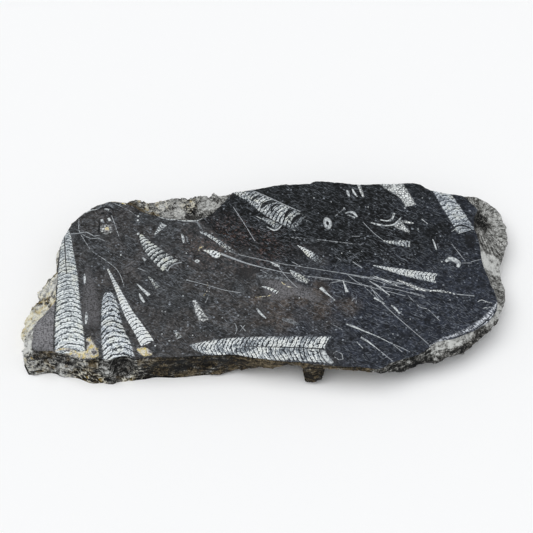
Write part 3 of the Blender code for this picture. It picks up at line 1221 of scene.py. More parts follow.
BITS: tuple[Inlay, ...] = (
    sliver(
        (182, -117, 6), (197, -108, 10), (217, -99, 12), (236, -89, 15), (251, -77, 15), (262, -64, 11),
        (269, -52, 4), cover=(0.1, 0.15, 0.1, 0.3, 0.4, 0.3), stone=Stone.BRUISE,
    ),
    sliver(
        (222, -104, 3), (238, -95, 5), (252, -83, 5), (263, -68, 3), cover=(0.4, 0.6, 0.7),
        stone=Stone.BRUISE,
    ),
    Patch(
        Stone.HOLLOW,
        ((68, 88), (73.5, 85), (76.5, 77), (75.5, 69), (71.5, 64), (66.5, 67), (64, 75), (64.5, 83)),
    ),
    Patch(Stone.HOLLOW, ((-97, 13), (-93, 16.5), (-89, 13), (-93, 9.5))),
    Patch(Stone.CELLS, ((-2, 8), (4, 11), (10, 6), (6, 3)), cover=0.9),
    Patch(Stone.CELLS, ((20, -3), (27, -4), (44, -21), (44, -24), (32, -19), (24, -11))),
    sliver((-20, -12, 6), (0, -12, 10), (18, -18, 6), cover=(0.3, 0.35), stone=Stone.HAZE),
    sliver((-146, 88, 1.5), (-135, 83, 2.5), (-122, 82, 2), (-110, 80, 3), (-97, 80, 2), cover=(0.6,)),
    sliver((-96, 80, 2), (-87, 86, 1.5), (-78, 94, 1.5), cover=(0.8, 0.5)),
    sliver((-96, 79, 3), (-92, 71, 4), (-88, 64, 2), cover=(0.7, 0.6), stone=Stone.HAZE),
    sliver((213.5, 12, 4), (219, 17, 8), (225, 15, 8.5), (229.5, 9, 7.5), (227.5, 3, 4)),
    sliver((93, 93, 2), (99, 95.5, 4), (104, 94, 5), (108, 87, 3)),
    sliver((96, 90, 2), (102, 88, 3), (105, 85, 2), cover=(0.6,)),
    sliver((137, 82, 2), (146, 80, 3), (152, 83, 4), (156, 94, 3.5), cover=(1.0, 0.8, 0.5, 0.55)),
    sliver((142, 76.5, 1.5), (153, 77, 4.5), (160, 82, 4.5), (163, 91, 1.5), stone=Stone.MUD),
    Patch(Stone.CELLS, ((152, 72), (162, 82), (168, 72), (176, 58), (165, 62)), cover=1.0),
    sliver(
        (125, 77, 1.5), (133, 74, 4), (143, 72, 2.5), (152, 73, 3), (158, 77, 4), (164, 86, 1.5),
        cover=(0.6, 0.75, 0.6, 1.0, 1.0),
    ),
    sliver((160, 81, 2), (170, 78, 5), (179, 76, 2), cover=(0.75,), stone=Stone.CELLS),
    sliver((190, 83, 1.5), (197, 75, 1.5)),
    sliver((97, 134, 2), (98, 129, 5), (100, 122, 2), cover=(0.85,)),
    sliver((104, 137, 2), (106, 130, 4), (110, 122, 2), cover=(0.6,)),
    sliver((112, 147, 4), (115, 134, 5), (118, 121, 3), cover=(0.85,), stone=Stone.CELLS),
    sliver((86, -19, 1.5), (88, -28, 3), (90, -36, 5.5), cover=(0.6, 0.75)),
    sliver((58, -29, 6), (62, -34, 5), (68, -41, 2.5), (74, -47, 1), cover=(1.0, 0.9, 0.7)),
    sliver((87, -84.5, 2), (95, -88, 3.5), (106, -94, 2.4), (123, -103, 1.6), (137, -112, 1)),
    sliver((103, -104, 3.5), (111, -110, 3), (121, -120, 1.2)),
    sliver((88, -99, 2.4), (96, -108, 2), (105, -120, 1.2)),
    sliver((-19, -61, 2), (-15, -68, 4), (-8, -76, 2), cover=(0.85,)),
    sliver((117, -18, 1), (128, -27, 3), (141, -41, 1.5)),
    sliver((122, -45, 3), (128, -49, 3), (134, -54, 1.5), cover=(0.8,)),
    sliver((142, -56, 2), (147, -62, 3.5), (151, -69, 2), cover=(0.75,)),
    sliver((11, -77, 4), (21, -80, 9), (30, -85, 4), cover=(0.8,), stone=Stone.HAZE),
    sliver((201, 49, 1.5), (203, 39, 2.8), (204, 31, 1.5)),
    sliver((206, 42, 3), (208, 34, 4), cover=(0.5,), stone=Stone.HAZE),
    Patch(Stone.MUD, ((238, 58), (249, 62), (257, 55), (256, 39), (246, 31), (239, 41)), cover=0.6),
    sliver((-93, -52, 6), (-88, -66, 11), (-81, -80, 14), cover=(0.85, 0.7, 0.5), stone=Stone.CELLS),
    sliver((-96, -50, 3), (-92, -50, 4), cover=(0.9,)),
    sliver((-165, -23, 1), (-158, -31, 4), (-149, -41, 6)),
    sliver((-161, -38, 1.5), (-158, -45, 4.5), (-154, -52, 3)),
    sliver((-161, 19, 2), (-157, 14, 4.5), cover=(0.75,)), sliver((-3, 12, 1.5), (3, 8, 3), (9, 3, 1.5)),
    sliver((-230, -7, 1), (-229, -16, 4.5), (-228, -24, 1.5), cover=(0.7,)),
    sliver((-222, -66, 1.5), (-221, -75, 5), (-221, -85, 2), cover=(0.7,)),
    sliver((-114, 58, 2), (-112, 51, 5), (-111, 43, 2), cover=(0.8,)),
    sliver((-108, 54, 2), (-106, 44, 3), cover=(0.6,), stone=Stone.HAZE),
    sliver(
        (152, -17, 1.5), (160, -21.5, 4), (169, -27, 6), (177, -31, 5.5), (187, -34.5, 2),
        stone=Stone.CELLS,
    ),
    sliver(
        (187, -34.5, 2), (199, -34, 4), (213, -37, 3.5), (222, -40, 1.5), cover=(0.6, 0.5),
        stone=Stone.CELLS,
    ),
    sliver((124, -11, 1), (138, -18, 3), (151, -26, 1.5), cover=(0.6,)),
    sliver((246, -51, 1), (251, -48, 1.3), (257, -51, 1), (263, -53, 1), cover=(0.7,)),
    sliver((251, -61, 1), (258, -59, 1.2), (266, -60, 1), cover=(0.6,)),
    sliver((-238, 94, 1.5), (-232, 99, 2.5), (-227, 99, 1.5), (-221, 103, 2), (-214, 104, 1), cover=(0.8,)),
    sliver((-207, 114, 3), (-199, 114, 4), (-188, 109, 3), stone=Stone.FILLER),
    sliver((12, 76, 1.2), (20, 70, 2), (29, 63, 1.2)),
    sliver((-20, 88, 1), (-12, 82, 1.6), (-3, 78, 1), cover=(0.8,)),
    sliver((-7, 70, 1.5), (2, 64, 3), (8, 67, 2.5), (12, 73, 1.5), cover=(0.9,)),
    sliver(
        (-223, 100, 3), (-219, 107, 6), (-211, 110, 6), (-204, 101, 3), cover=(0.7, 0.9), stone=Stone.HAZE,
    ),
    sliver((-215, 101, 3), (-209, 99, 4), cover=(0.9,)),
    sliver((-217, 83, 4), (-216, 79, 5), cover=(0.85,)),
    sliver((-209, 85, 4), (-206, 80, 5), cover=(0.85,)),
    Patch(
        Stone.CELLS, ((-219, 73), (-211, 76), (-203, 72), (-200, 61), (-209, 55), (-217, 59)), cover=0.55,
    ),
    sliver((-223, 99, 2), (-216, 103, 3.5), (-208, 103, 3.5), (-202, 98, 2), stone=Stone.MUD),
    Patch(Stone.MUD, ((-221, 91), (-218, 96), (-213, 94), (-214, 90), (-217, 91))),
    Patch(Stone.MUD, ((-211, 91), (-208, 97), (-204, 93), (-204, 89), (-208, 91))),
    sliver((-219, 79, 2), (-219, 68, 3), (-218, 56, 2), stone=Stone.MUD),
    Patch(Stone.FILLER, ((-212, 69), (-207, 70), (-206, 62), (-211, 60)), cover=1.0), *FLECKS,
)

VEINS: tuple[Inlay, ...] = (
    sliver(
        (-66, 26, 4), (-46, 16, 3), (-28, 8, 2.2), (3, -2, 1.5), (27, -8, 1.2), (82, -18, 1.1),
        (124, -30, 1.1), (160, -42, 1), cover=(1.0, 0.9, 0.8, 0.8, 0.8), stone=Stone.VEIN,
    ),
    vein((-50, 27), (-40, 23), (-9, 14), (15, 8), (50, 1), (83, -6), (112, -14), cover=(0.7, 0.75, 0.8)),
    vein((83, -6), (121, -14), (155, -22), (190, -33), (214, -38), (243, -42), width=1.5, cover=(0.9,)),
    vein((22, 53), (60, 48), (91, 43), (116, 39), cover=(0.4, 0.65, 0.5)),
    vein((22, 53), (41, 47), (59, 46), (89, 43), cover=(0.6, 0.4, 0.5)),
    vein((46, 42), (59, 32), (75, 20), (89, 13), cover=(0.35, 0.5)),
    vein((95, -50), (98, -45), (101, -47), (100, -53), cover=(0.6,)),
    vein((137, -112), (148, -118), (159, -125), cover=(0.7,)),
    vein((121, -120), (138, -138), width=1.2, cover=(0.9,)),
    vein((104, -17), (116, -34), (135, -58), (151, -78), (168, -98), (185, -118), cover=(0.5, 0.9, 0.8)),
    vein((163, -41), (176, -59), (185, -62), (198, -80), cover=(0.6,)),
    vein((224, 41), (238, 13), cover=(0.7,)), vein((-50, 104), (-36, 76), (-22, 46), cover=(0.7,)),
    vein(
        (-246, 83), (-244, 64), (-236, 48), (-224, 29), (-208, 16), (-193, 2), (-185, -12), (-180, -28),
        cover=(0.6,),
    ),
    vein((-255, 58), (-244, 59), (-234, 61), (-224, 54), (-217, 56), width=1.4, cover=(1.0,)),
    vein((-240, 58), (-228, 50), (-219, 51), (-210, 46), cover=(0.7,)),
    vein((-105, -17), (-80, -25), (-58, -33), (-39, -37), cover=(0.7,)),
    vein((99, 12), (110, 2), width=1.4, cover=(1.1,)), vein((8, 2), (21, -18), (30, -29), cover=(0.7,)),
    vein((115, 78), (128, 59), (140, 46), cover=(0.7,)), vein((119, -30), (133, -48), cover=(0.8,)),
    vein((89, -6), (106, -23), (121, -27), cover=(0.7,)),
    vein((119, -11), (149, -23), (169, -22), cover=(0.7,)),
    vein((130, -27), (154, -33), (183, -44), cover=(0.7,)),
    vein((120, -30), (126, -44), (132, -51), cover=(0.6,)), vein((143, -56), (153, -69), cover=(0.6,)),
    vein((137, -111), (150, -125), cover=(0.7,)), vein((68, -83), (85, -95), cover=(0.6,)),
    vein((-38, -86), (-32, -95), cover=(0.7,)), vein((-33, -86), (-39, -96), cover=(0.6,)),
    vein((-45, -83), (-42, -92), (-44, -99), cover=(0.6,)),
    vein((-76, -25), (-77, -41), (-81, -53), cover=(0.5,)),
    vein((-41, 80), (-30, 74), (-33, 66), cover=(0.35,)), vein((100, 54), (110, 54), cover=(0.8,)),
    vein((-208, 97), (-201, 78), (-193, 54), cover=(0.6,)),
    vein((-204, 111), (-182, 97), (-173, 88), cover=(0.6,)), vein((234, 10), (246, 10), cover=(0.7,)),
    vein((245, 12), (258, 16), cover=(0.7,)), vein((124, -125), (149, -108), (179, -93), cover=(0.3,)),
    vein((100, -145), (107, -129), (125, -115), cover=(0.3,)), vein((166, -36), (183, -42), cover=(0.7,)),
    vein((255, -62), (262, -59), (268, -62), cover=(0.7,)),
    vein((-152, 34), (-141, 17), (-129, -3), width=1.3, cover=(0.9,)),
    vein((-129, -3), (-126, 4), (-120, 9), (-112, 11), width=1.5, cover=(1.0,)),
    vein((-166, 2), (-154, -4), cover=(0.6,)), vein((-15, -1), (-3, -9), (9, -16), cover=(0.6,)),
    vein((34, -8), (60, -16), (82, -17), cover=(0.6,)), vein((24, 12), (34, 5), cover=(0.7,)),
    vein((80, 88), (93, 102), cover=(0.6,)), vein((70, -22), (88, -17), cover=(0.7,)),
    vein((215, -111), (230, -93), cover=(0.7,)), vein((107, -11), (137, -23), cover=(0.7,)),
    vein((124, -11), (140, -22), (154, -28), (172, -33), cover=(0.7,)),
    sliver((9, -17, 1), (13, -23, 1.8), (20, -28, 2.4), (24, -29, 1), cover=(0.6,), stone=Stone.FILLER),
    sliver((-21, -44, 1), (-12, -43, 1.6), (-3, -41, 1.8), (4, -32, 1), cover=(0.45,), stone=Stone.FILLER),
    sliver((-83, -42, 1), (-79, -33, 1.5), (-79, -21, 1), cover=(0.35,), stone=Stone.FILLER),
    sliver((-92, 30, 2), (-90, 35, 3), (-86, 37, 1.5), cover=(0.5,), stone=Stone.FILLER),
)

OVERLAYS: tuple[Inlay, ...] = (
    Patch(
        Stone.FRAGMENT, ((53, -121), (60, -121), (66, -129), (72, -143), (64, -143), (57, -134)), cover=0.9,
    ),
    Patch(
        Stone.LIMESTONE,
        (
            (76, -95), (72, -101), (66, -106), (62, -113), (60.5, -121), (63, -129), (70, -139), (79, -149),
            (96, -150), (96, -95),
        ),
    ),
    sliver((-36, -117, 1), (20, -118.5, 1.4), (60, -120.5, 1.6), cover=(0.3, 0.5, 0.8), stone=Stone.MUD),
    sliver((226, 66, 1), (235, 72, 2.4), (245, 71, 2.4), (252, 65, 1), stone=Stone.MUD),
    sliver((226, 62, 1), (235, 68, 1.2), (245, 67, 1.2), (252, 61, 1), cover=(0.7,)),
    sliver((-262, 60, 1), (-258, 31, 1.4), (-252, -8, 1), cover=(0.5,), stone=Stone.MUD),
    Patch(
        Stone.LIMESTONE,
        (
            (206, -4), (203, -8), (199.5, -11), (197.5, -15), (198, -19), (200, -23), (204, -27),
            (210, -24), (210, -6),
        ),
    ),
    sliver((-27, 114, 2.5), (-23, 120, 4.5), (-15, 124, 2), stone=Stone.LIMESTONE),
    sliver((-14, 102, 3), (-10, 109, 6.5), (-2, 113, 5.5), (5, 113, 2), stone=Stone.LIMESTONE),
    sliver((-2, 97, 1.5), (2, 106, 3), (11, 109, 1.5), stone=Stone.MUD),
    vein((-44, 135), (-26, 133), (-6, 122), (16, 108), (36, 96), width=1.6, cover=(0.9, 0.9, 0.6)),
    sliver((15, 85, 2), (20, 95, 4), (27, 100, 2), stone=Stone.MUD),
    sliver((25, 76, 3), (30, 85, 6), (38, 91, 3), stone=Stone.MUD),
    vein((70, -127), (74, -124), (80, -128), (81, -135), (76, -136), (71, -132), cover=(0.6,)),
    sliver(
        (-253, -124, 2), (-246, -121, 4), (-238, -122, 5), (-228, -125, 3), cover=(0.7,),
        stone=Stone.FILLER,
    ),
)


# ---------------------------------------------------------------------------------------------------------
# The slab's mesh
# ---------------------------------------------------------------------------------------------------------


@dataclass(frozen=True)
class RimZone:
    """How the broken stone looks and breaks near a place.

    place: x, y and z on the slab.
    tone: its lightness, from 0 to 1.
    ochre, pale, brown: how much of each stain it has, from 0 to about 0.6.
    grain: how strongly it breaks into facets, where 1 is usual.
    """

    place: Spot
    tone: float = 0.5
    ochre: float = 0.0
    pale: float = 0.0
    brown: float = 0.0
    grain: float = 1.0


# Each row is a place's x, y and z, then its tone, ochre, pale, brown and grain up to the last unusual one.
RIM_ZONES: tuple[RimZone, ...] = tuple(
    RimZone(row[:3], *row[3:])
    for row in (
        (-280, 20, 28, 0.6, 0.34, 0.3), (-292, -10, 25, 0.68, 0.42, 0.3), (-275, -29, 33, 0.76, 0.34, 0.4),
        (-276, -41, 32, 0.5, 0.36, 0, 0.4), (-281, -50, 31, 0.76, 0.46, 0.34),
        (-291, -69, 29, 0.7, 0.46, 0.3), (-294, -83, 28, 0.78, 0.5, 0.3),
        (-283, -101, 40, 0.72, 0.2, 0.3, 0, 0.7), (-289, -112, 33, 0.84, 0.15, 0.42),
        (-284, -126, 27, 0.42, 0.3, 0.2), (-271, -125, 36, 0.26, 0, 0, 0.42, 0.6),
        (-262, -127, 12, 0.38, 0.2, 0, 0.36), (-241, -131, 38, 0.42, 0, 0.2, 0.34),
        (-250, -131, 10, 0.6, 0.2, 0.34, 0.2), (-223, -137, 38, 0.44, 0.24, 0.25),
        (-233, -133, 8, 0.44, 0.28, 0, 0.36), (-210, -138, 33, 0.26, 0.2, 0, 0.46),
        (-208, -141, 9, 0.3, 0.3, 0, 0.42), (-195, -140, 23, 0.48, 0, 0.25),
        (-186, -135, 36, 0.36, 0, 0, 0, 0.6), (-176, -128, 27, 0.14, 0, 0, 0, 0.1),
        (-167, -130, 25, 0.14, 0, 0, 0.1, 0.2), (-173, -134, 13, 0.24, 0, 0, 0.35, 0.5),
        (-170, -138, 6, 0.5, 0.34, 0, 0.3), (-158, -136, 17, 0.34, 0.2, 0, 0.25),
        # Along the front, the rows at 18 to 20 mm high are darker than the band above them: painted shade
        # in the crack under the upper bed.
        (-148, -134, 35, 0.2, 0.15, 0, 0.46, 0.5), (-144, -133, 18, 0.1, 0, 0, 0.46),
        (-125, -133, 37, 0.12, 0, 0, 0.46, 0.5), (-127, -133, 8, 0.28, 0, 0, 0.45, 0.6),
        (-102, -132, 37, 0.13, 0, 0, 0.4, 0.5), (-103, -132, 19, 0.08, 0, 0, 0.4),
        (-103, -132, 5, 0.3, 0, 0, 0.45, 0.6), (-79, -131, 37, 0.12, 0, 0, 0.4, 0.5),
        (-79, -131, 20, 0.08, 0, 0, 0.42), (-79, -131, 5, 0.28, 0, 0, 0.45, 0.6),
        (-61, -130, 33, 0.11, 0, 0, 0.42, 0.35), (-50, -130, 10, 0.24, 0, 0, 0.46, 0.3),
        (-44, -129, 28, 0.1, 0.05, 0, 0.5, 0.35), (-27, -134, 34, 0.24, 0.1, 0, 0.6, 0.4),
        (-9, -136, 30, 0.3, 0.1, 0, 0.6, 0.4), (8, -139, 35, 0.22, 0, 0, 0.5, 0.4),
        (31, -140, 36, 0.22, 0, 0, 0.55, 0.4), (46, -143, 31, 0.1, 0, 0, 0.52, 0.6),
        (47, -140, 8, 0.05, 0, 0, 0.48, 0.5), (71, -145, 38, 0.3, 0, 0, 0.52, 0.4),
        (100, -147, 38, 0.3, 0, 0, 0.52, 0.4), (129, -147, 37, 0.34, 0, 0, 0.3, 0.5),
        (147, -139, 30, 0.22, 0, 0, 0, 0.6), (159, -134, 35, 0.22, 0, 0, 0, 0.6),
        (177, -126, 35, 0.3, 0, 0, 0, 0.6), (177, -132, 18, 0.12, 0, 0, 0, 0.5),
        (195, -116, 36, 0.7, 0, 0.42, 0, 0.6), (198, -126, 26, 0.3, 0, 0.1, 0, 0.5),
        (213, -108, 38, 0.7, 0.1, 0.46, 0, 0.6), (216, -116, 27, 0.2, 0, 0, 0, 0.5),
        (232, -99, 39, 0.66, 0, 0.4, 0, 0.6), (234, -104, 30, 0.24, 0.14, 0, 0, 0.5),
        (245, -92, 35, 0.3, 0, 0, 0, 0.5), (258, -76, 40, 0.76, 0, 0.42, 0, 0.5), (262, -76, 24, 0.3),
        (273, -59, 34, 0.72, 0, 0.38, 0, 0.5), (275, -41, 33, 0.48, 0, 0.26, 0, 0.5),
        (282, -24, 31, 0.52, 0, 0.26, 0, 0.5), (275, -9, 32, 0.54, 0, 0.2, 0, 0.5),
        (280, 8, 31, 0.72, 0, 0.45, 0, 0.5), (266, 17, 34, 0.92, 0, 0.5, 0, 0.5),
        (273, 22, 32, 0.7, 0, 0.42, 0, 0.5), (284, 42, 29, 0.56, 0, 0.2, 0, 0.4),
        (270, 40, 35, 0.56, 0, 0.2, 0, 0.4), (268, 60, 36, 0.46, 0, 0, 0, 0.4),
        (283, 67, 30, 0.66, 0, 0, 0, 0.35), (295, 86, 27, 0.66, 0, 0, 0, 0.35),
        (280, 98, 33, 0.68, 0, 0, 0, 0.35), (267, 86, 35, 0.16, 0, 0, 0, 0.3),
        (261, 76, 38, 0.24, 0, 0, 0, 0.3), (288, 109, 31, 0.62, 0, 0, 0.1, 0.35),
        (275, 113, 37, 0.64, 0, 0, 0, 0.35), (260, 116, 39, 0.5, 0, 0.15, 0, 0.5),
        (232, 135, 30, 0.4, 0, 0.2), (150, 148, 30, 0.3), (60, 150, 30, 0.3), (-20, 140, 30, 0.34, 0, 0.1),
        (-66, 121, 36, 0.56, 0, 0.36), (-78, 113, 36, 0.66, 0, 0.42), (-80, 92, 40, 0.44, 0, 0.3),
        (-92, 110, 34, 0.56, 0.1, 0.34), (-99, 95, 37, 0.28, 0, 0, 0.25),
        (-107, 112, 32, 0.34, 0.3, 0, 0.3), (-119, 103, 34, 0.72, 0.16, 0.42),
        (-126, 117, 32, 0.58, 0.16, 0.3), (-137, 94, 38, 0.6, 0, 0.38), (-145, 113, 32, 0.64, 0.3, 0.3),
        (-150, 91, 40, 0.4, 0.2, 0, 0.56), (-157, 106, 35, 0.56, 0.25, 0.26),
        (-164, 113, 37, 0.54, 0.36, 0, 0.2), (-170, 97, 40, 0.36, 0, 0, 0.62, 0.4),
        (-183, 107, 40, 0.34, 0, 0, 0.42, 0.5), (-200, 118, 38, 0.62, 0.36, 0.3),
        (-245, 105, 30, 0.5, 0.3, 0.3), (-268, 60, 30, 0.5, 0.34, 0.2),
    )
)


@dataclass(frozen=True)
class Dent:
    """A smooth hollow that the skin is pressed into.

    place: its middle.
    reach: its half sizes.
    push: how far, and which way, its middle goes.
    steepness: how fast it gets deep behind its edge.
    """

    place: Spot
    reach: Spot
    push: Spot
    steepness: float = 1.6

    def move(self, place: Vector) -> Vector:
        """How far a point of the skin goes."""
        off = [(place[i] - self.place[i]) / self.reach[i] for i in range(3)]
        share = max(0.0, 1.0 - sum(v * v for v in off))
        return Vector(self.push) * min(1.0, self.steepness * share)


DENTS: tuple[Dent, ...] = (
    Dent((-177, -131, 24), (15, 12, 19), (0, 7, 0)), Dent((267, 86, 36), (9, 12, 12), (0, 0, -6)),
    Dent((-100, 98, 36), (12, 9, 12), (0, 0, -4)),
)


@dataclass
class BrokenRim:
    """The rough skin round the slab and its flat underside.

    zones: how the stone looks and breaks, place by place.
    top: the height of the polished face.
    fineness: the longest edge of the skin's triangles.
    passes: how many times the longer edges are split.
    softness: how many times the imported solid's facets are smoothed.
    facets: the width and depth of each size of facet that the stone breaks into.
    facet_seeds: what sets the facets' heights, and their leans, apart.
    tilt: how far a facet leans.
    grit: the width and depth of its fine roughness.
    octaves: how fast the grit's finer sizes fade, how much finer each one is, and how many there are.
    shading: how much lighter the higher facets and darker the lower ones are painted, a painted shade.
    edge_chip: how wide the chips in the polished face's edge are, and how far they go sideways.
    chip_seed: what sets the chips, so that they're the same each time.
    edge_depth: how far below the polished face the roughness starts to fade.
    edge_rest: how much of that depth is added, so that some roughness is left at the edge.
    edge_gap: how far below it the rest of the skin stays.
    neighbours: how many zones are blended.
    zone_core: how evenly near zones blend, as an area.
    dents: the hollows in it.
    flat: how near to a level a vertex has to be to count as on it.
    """

    zones: tuple[RimZone, ...]
    top: float
    fineness: float = 2.1
    passes: int = 5
    softness: int = 4
    facets: tuple[Point, ...] = ((19.0, 2.4), (7.5, 1.2))
    facet_seeds: Point = (7.31, 3.17)
    tilt: float = 1.6
    grit: Point = (3.0, 0.4)
    octaves: tuple[float, float, int] = (0.8, 2.0, 3)
    shading: float = 0.22
    edge_chip: Point = (5.0, 0.8)
    chip_seed: int = 7
    edge_depth: float = 3.0
    edge_rest: float = 0.6
    edge_gap: float = 0.15
    neighbours: int = 8
    zone_core: float = 20.0
    dents: tuple[Dent, ...] = DENTS
    flat: float = 0.02

    def skin(self, packed: bpy.types.Mesh) -> Skin:
        """Makes the rough skin, with a hole where the polished face goes.

        Args:
            packed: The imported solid's mesh, in metres.

        Returns:
            The skin, in millimetres.
        """
        skin = bmesh.new()
        skin.from_mesh(packed)
        bmesh.ops.remove_doubles(skin, verts=skin.verts, dist=1e-6)
        bmesh.ops.scale(skin, vec=(TO_MM,) * 3, verts=skin.verts)
        polished = [f for f in skin.faces if all(abs(v.co.z - self.top) < self.flat for v in f.verts)]
        bmesh.ops.delete(skin, geom=polished, context="FACES")
        self._make_finer(skin)
        self._soften(skin)
        self._break_up(skin)
        return skin

    def is_underside(self, face: Face) -> bool:
        """Whether a face is part of the flat underside."""
        return all(v.co.z < self.flat for v in face.verts)

    def _make_finer(self, skin: Skin) -> None:
        """Splits the skin's long edges, pass after pass. Only the underside's own edges stay long.

        Args:
            skin: The skin, which changes.
        """
        for _ in range(self.passes):
            rough = [e for e in skin.edges if not all(self.is_underside(f) for f in e.link_faces)]
            long = [e for e in rough if e.calc_length() > self.fineness]
            if not long:
                return
            bmesh.ops.subdivide_edges(skin, edges=long, cuts=1)
            bmesh.ops.triangulate(skin, faces=[f for f in skin.faces if len(f.verts) > 3])
            self._drop_doubles(skin)

    def _drop_doubles(self, skin: Skin) -> None:
        """Takes out the folds of no thickness, where two faces have the same corners.

        Args:
            skin: The skin, which changes.
        """
        alike: dict[frozenset[Vert], list[Face]] = {}
        for face in skin.faces:
            alike.setdefault(frozenset(face.verts), []).append(face)
        folds = [face for faces in alike.values() for face in faces[len(faces) % 2 :]]
        bmesh.ops.delete(skin, geom=folds, context="FACES")

    def _soften(self, skin: Skin) -> None:
        """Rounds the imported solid's facets a little.

        Args:
            skin: The skin, which changes.
        """
        loose = [v for v in skin.verts if not v.is_boundary and v.co.z > self.flat]
        for _ in range(self.softness):
            bmesh.ops.smooth_vert(
                skin, verts=loose, factor=0.5, use_axis_x=True, use_axis_y=True, use_axis_z=True
            )

    def _facet_height(self, place: Vector, width: float) -> float:
        """The height of the facet that a place is on.

        Args:
            place: The place on the slab.
            width: The facets' width.

        Returns:
            The height, mostly from -1 to 1.
        """
        scaled = place / width
        middle = noise.voronoi(scaled)[1][0]
        lift = noise.cell(middle * self.facet_seeds[0]) - 0.5
        tilt = noise.cell_vector(middle * self.facet_seeds[1]) - Vector((0.5, 0.5, 0.5))
        return lift + tilt.dot(scaled - middle) * self.tilt

    def _break_up(self, skin: Skin) -> None:
        """Moves the skin in and out, and stores how the stone looks at each point, with a painted shade by
        height.

        Args:
            skin: The skin, which changes.
        """
        stains_and_shade = skin.verts.layers.float_color.new(STAINS_AND_SHADE)
        tone = skin.verts.layers.float_vector.new(TONE)
        skin.normal_update()
        noise.seed_set(self.chip_seed)
        zones = self._zone_tree()
        moves = []
        for vert in skin.verts:
            place = vert.co
            zone = self._zone_at(place, zones)
            height = sum(depth * self._facet_height(place, width) for width, depth in self.facets)
            height += self.grit[1] * noise.fractal(place / self.grit[0], *self.octaves)
            height *= zone.grain
            # Painted shade: the lower a point's facet, the darker the rim is painted there; the higher, the
            # lighter.
            hollow = 0.5 + self.shading * height / self.facets[0][1]
            vert[stains_and_shade] = (zone.ochre, zone.pale, zone.brown, min(1.0, max(0.0, hollow)))
            vert[tone] = (zone.tone, zone.grain, 0.0)
            if vert.co.z < self.flat:
                moves.append((vert, Vector()))
                continue
            if vert.is_boundary:
                chip = noise.noise_vector(place / self.edge_chip[0]) * self.edge_chip[1] * zone.grain
                moves.append((vert, Vector((chip.x, chip.y, 0.0))))
                continue
            near = min(1.0, (self.top - place.z + self.edge_rest) / self.edge_depth)
            move = vert.normal * height
            move += sum((dent.move(place) for dent in self.dents), Vector())
            moves.append((vert, move * (near if place.z > self.top - self.edge_depth else 1.0)))
        for vert, move in moves:
            vert.co += move
            if not vert.is_boundary:
                vert.co.z = min(max(vert.co.z, 0.0), self.top - self.edge_gap)
            if move.length == 0.0:
                vert.co.z = 0.0

    def _zone_tree(self) -> KDTree:
        """Sorts the zones by place, so that the nearest are found fast."""
        tree = KDTree(len(self.zones))
        for i, zone in enumerate(self.zones):
            tree.insert(zone.place, i)
        tree.balance()
        return tree

    def _zone_at(self, place: Vector, tree: KDTree) -> RimZone:
        """Blends the zones nearest to a place.

        Args:
            place: The place on the slab.
            tree: The zones, sorted by place.

        Returns:
            The zone there.
        """
        total = 0.0
        sums = [0.0] * 5
        for _, i, far in tree.find_n(place, self.neighbours):
            zone = self.zones[i]
            weight = 1.0 / (far * far + self.zone_core) ** 3
            total += weight
            for at, value in enumerate((zone.tone, zone.ochre, zone.pale, zone.brown, zone.grain)):
                sums[at] += weight * value
        return RimZone(tuple(place), *(s / total for s in sums))


